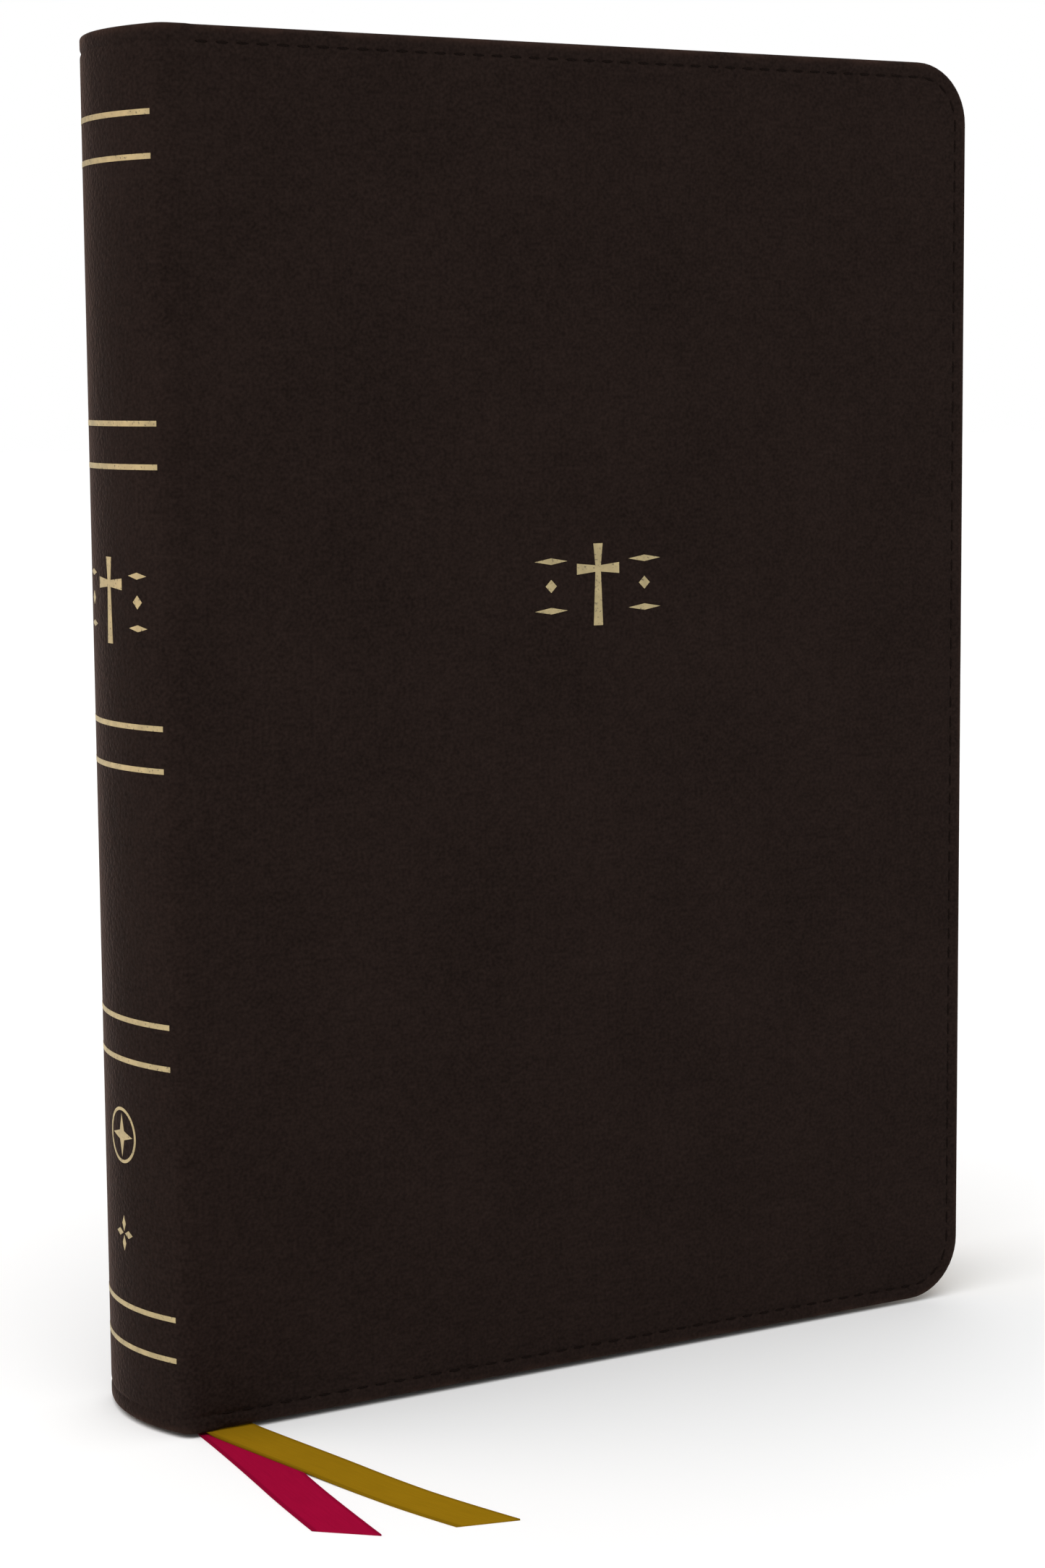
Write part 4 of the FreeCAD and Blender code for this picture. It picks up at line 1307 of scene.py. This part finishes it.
def band_mesh(name, path, width, thickness, slant, material):
    """Flat ribbon along a path, with thicker rims, its far end cut at a slant."""
    columns, rim_share = 13, 0.12
    total = line_length(path)
    skin = Skin()
    rows = []
    run = 0.0
    for index, point in enumerate(path):
        before, after = path[max(index - 1, 0)], path[min(index + 1, len(path) - 1)]
        along = (after - before).normalized()
        flat = Vector((along.x, along.y, 0.0))
        sideways = Vector((1.0, 0.0, 0.0)) if flat.length < 0.05 else flat.normalized().cross(UP)
        up = sideways.cross(along).normalized()
        if index:
            run += (point - path[index - 1]).length
        row = []
        for column in range(columns):
            share = column / (columns - 1) - 0.5
            # One edge keeps its full length, and the other ends a slant short of it.
            stretch = smoothstep(run, total - 4 * slant, total) if slant else 0.0
            back = slant * (0.5 + share) * stretch
            rim = 1.0 - smoothstep(0.5 - abs(share), 0.02, 0.10)
            middle = point + sideways * (share * width) - along * back
            middle = middle + up * thickness * rim_share * rim
            half = up * thickness / 2 * (1.0 + rim_share * rim)
            uv = ((run - back) / MM, share * width / MM)
            row.append((skin.add((middle + half) / MM, uv), skin.add((middle - half) / MM, uv)))
        rows.append(row)
    for layer in (0, 1):
        skin.sheet([[pair[layer] for pair in row] for row in rows])
    for column in (0, -1):
        skin.strip([row[column][0] for row in rows], [row[column][1] for row in rows])
    for row in (rows[0], rows[-1]):
        skin.strip([pair[0] for pair in row], [pair[1] for pair in row])
    return skin.build(name, [material], sharp=50.0)


def make_ribbon(colour_name, route, colour, slant, slot):
    """Free end of a ribbon marker and the part of it shut in the leaves."""
    ribbon = bpy.context.scene.bible_ribbons
    satin = finish(slot, ribbon_satin, colour, ribbon.width)
    path = smooth_line(route)
    tail = band_mesh(colour_name + "_ribbon_tail", path, ribbon.width, ribbon.thickness, slant,
                     satin)
    middle_line = shortened(path, slant / 2)
    length = line_length(middle_line)
    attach(tail, "root")
    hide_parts(colour_name + "_ribbon")
    tuple(path[0])
    [tuple(point) for point in middle_line]
    end_inset = 0.0002
    held_low, held_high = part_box(colour_name + "_ribbon_held")
    middle = (held_low + held_high) / 2
    upright = [Vector((middle.x, middle.y, z)) for z in
               spread(held_low.z + end_inset, held_high.z - end_inset, 0.01)]
    shut = band_mesh(colour_name + "_ribbon_shut", upright, ribbon.width, ribbon.thickness, 0.0,
                     satin)
    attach(shut, "root")
    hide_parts(colour_name + "_ribbon_held")


class BIBLE_OT_ribbons(bpy.types.Operator):
    """Lay the two ribbon markers"""
    bl_idname = "bible.ribbons"
    bl_label = "Ribbon Markers"

    def execute(self, context):
        ribbon = context.scene.bible_ribbons
        make_ribbon("red", RED_ROUTE, tuple(ribbon.red), ribbon.red_slant, "red_satin")
        make_ribbon("gold", GOLD_ROUTE, tuple(ribbon.gold), ribbon.gold_slant, "gold_satin")
        return {"FINISHED"}


# --- Inner pieces that keep their CAD shape ----------------------------------------------------
class BIBLE_OT_inner_pieces(bpy.types.Operator):
    """Give the boards, linings and sewing their finishes"""
    bl_idname = "bible.inner_pieces"
    bl_label = "Boards, Linings and Sewing"

    def execute(self, context):
        finishes = {
            "front_board": ("binders_board", grey_board),
            "back_board": ("binders_board", grey_board),
            "spine_inlay": ("binders_board", grey_board),
            "spine_lining": ("kraft_paper", kraft_paper),
            "mull": ("mull_cloth", open_cloth),
            "sewing_thread": ("linen_thread", open_cloth),
        }
        for node, (name, looks) in finishes.items():
            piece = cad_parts[node]
            for slot in piece.material_slots:
                slot.material = finish(name, looks)
        return {"FINISHED"}


# --- Stage -------------------------------------------------------------------------------------
def add_light(name, place, target, size, power, tint=(1.0, 1.0, 1.0)):
    """Large soft lamp that faces a point."""
    data = bpy.data.lights.new(name, "AREA")
    data.shape = "RECTANGLE"
    data.size, data.size_y = size
    data.energy = power
    data.color = tint
    lamp = bpy.data.objects.new(name, data)
    lamp.location = place
    lamp.rotation_euler = (Vector(target) - Vector(place)).to_track_quat("-Z", "Y").to_euler()
    lamp.visible_camera = False
    bpy.context.scene.collection.objects.link(lamp)


def add_sun(name, place, strength):
    """Very wide, soft light from one side of the sky."""
    data = bpy.data.lights.new(name, "SUN")
    data.energy = strength
    data.angle = math.radians(70.0)
    lamp = bpy.data.objects.new(name, data)
    lamp.rotation_euler = (-Vector(place)).to_track_quat("-Z", "Y").to_euler()
    bpy.context.scene.collection.objects.link(lamp)


def add_camera(stage):
    yaw, pitch, roll = stage.camera_turn
    ahead = Vector((-math.sin(yaw) * math.cos(pitch), math.cos(yaw) * math.cos(pitch),
                    math.sin(pitch)))
    right = Vector((math.cos(yaw), math.sin(yaw), 0.0))
    above = right.cross(ahead)
    right, above = (right * math.cos(roll) + above * math.sin(roll),
                    above * math.cos(roll) - right * math.sin(roll))
    data = bpy.data.cameras.new("camera")
    data.lens = stage.lens
    data.sensor_width = 36.0
    data.clip_start, data.clip_end = 0.01, 50.0
    camera = bpy.data.objects.new("camera", data)
    turn = Matrix((right, above, -ahead)).transposed().to_4x4()
    camera.matrix_world = Matrix.Translation(stage.camera_place) @ turn
    bpy.context.scene.collection.objects.link(camera)
    bpy.context.scene.camera = camera


class BIBLE_OT_stage(bpy.types.Operator):
    """Set the camera, the pale floor and the soft light"""
    bl_idname = "bible.stage"
    bl_label = "Stage"

    def execute(self, context):
        stage = context.scene.bible_stage
        add_camera(stage)
        mesh = bpy.data.meshes.new("floor")
        half = 8.0
        mesh.from_pydata([(-half, -half, 0), (half, -half, 0), (half, half, 0), (-half, half, 0)],
                         [], [(0, 1, 2, 3)])
        mesh.materials.append(finish("pale_floor", pale_floor))
        floor = bpy.data.objects.new("floor", mesh)
        context.scene.collection.objects.link(floor)
        world = bpy.data.worlds.new("soft_sky")
        context.scene.world = world
        world.use_nodes = True
        world.node_tree.nodes.clear()
        nodes = Tree(world.node_tree)
        seen = nodes.node("ShaderNodeLightPath").out("Is Camera Ray")
        sky = nodes.node("ShaderNodeBackground", {},
                         {"Color": (1.0, 1.0, 1.0, 1.0),
                          "Strength": stage.sky + seen * (1.0 - stage.sky)})
        nodes.node("ShaderNodeOutputWorld", {}, {"Surface": sky})
        add_sun("overhead", (-0.35, -0.25, 1.0), stage.overhead)
        warm_light = (1.0, 0.72, 0.58)
        add_light("spine_softbox", (-1.0, 0.75, 0.35), (-0.09, 0.0, 0.13), (0.7, 0.9), 2.1,
                  warm_light)
        add_light("rear_softbox", (0.9, 1.1, 0.7), (0.0, 0.0, 0.12), (1.0, 0.9), 2.0)
        context.scene.view_settings.view_transform = "Standard"
        return {"FINISHED"}


# --- Panel and registration --------------------------------------------------------------------
SETTINGS = {
    "bible_stage": StageSettings,
    "bible_ribbons": RibbonSettings,
    "bible_case": CaseSettings,
    "bible_foil": FoilSettings,
    "bible_leaves": LeafSettings,
    "bible_bands": BandSettings,
}
OPERATORS = (BIBLE_OT_stage, BIBLE_OT_ribbons, BIBLE_OT_case, BIBLE_OT_stitching, BIBLE_OT_foil,
             BIBLE_OT_leaves, BIBLE_OT_bands, BIBLE_OT_inner_pieces)


class BIBLE_PT_panel(bpy.types.Panel):
    """Settings and steps of the bible"""
    bl_idname = "BIBLE_PT_panel"
    bl_label = "Sewn Bible"
    bl_space_type = "VIEW_3D"
    bl_region_type = "UI"
    bl_category = "Bible"

    def draw(self, context):
        for operator in OPERATORS:
            self.layout.operator(operator.bl_idname)
        for name, group in SETTINGS.items():
            box = self.layout.box()
            box.label(text=group.__doc__)
            for key in group.__annotations__:
                box.prop(getattr(context.scene, name), key)


def register():
    for group in (*SETTINGS.values(), *OPERATORS, BIBLE_PT_panel):
        bpy.utils.register_class(group)
    for name, group in SETTINGS.items():
        setattr(bpy.types.Scene, name, PointerProperty(type=group))


def unregister():
    for name in SETTINGS:
        delattr(bpy.types.Scene, name)
    for group in (BIBLE_PT_panel, *reversed(OPERATORS), *reversed(list(SETTINGS.values()))):
        bpy.utils.unregister_class(group)


def main():
    register()
    bpy.ops.bible.stage()
    bpy.ops.bible.ribbons()
    bpy.ops.bible.case()
    bpy.ops.bible.stitching()
    bpy.ops.bible.foil()
    bpy.ops.bible.leaves()
    bpy.ops.bible.bands()
    bpy.ops.bible.inner_pieces()


if __name__ == "__main__":
    main()
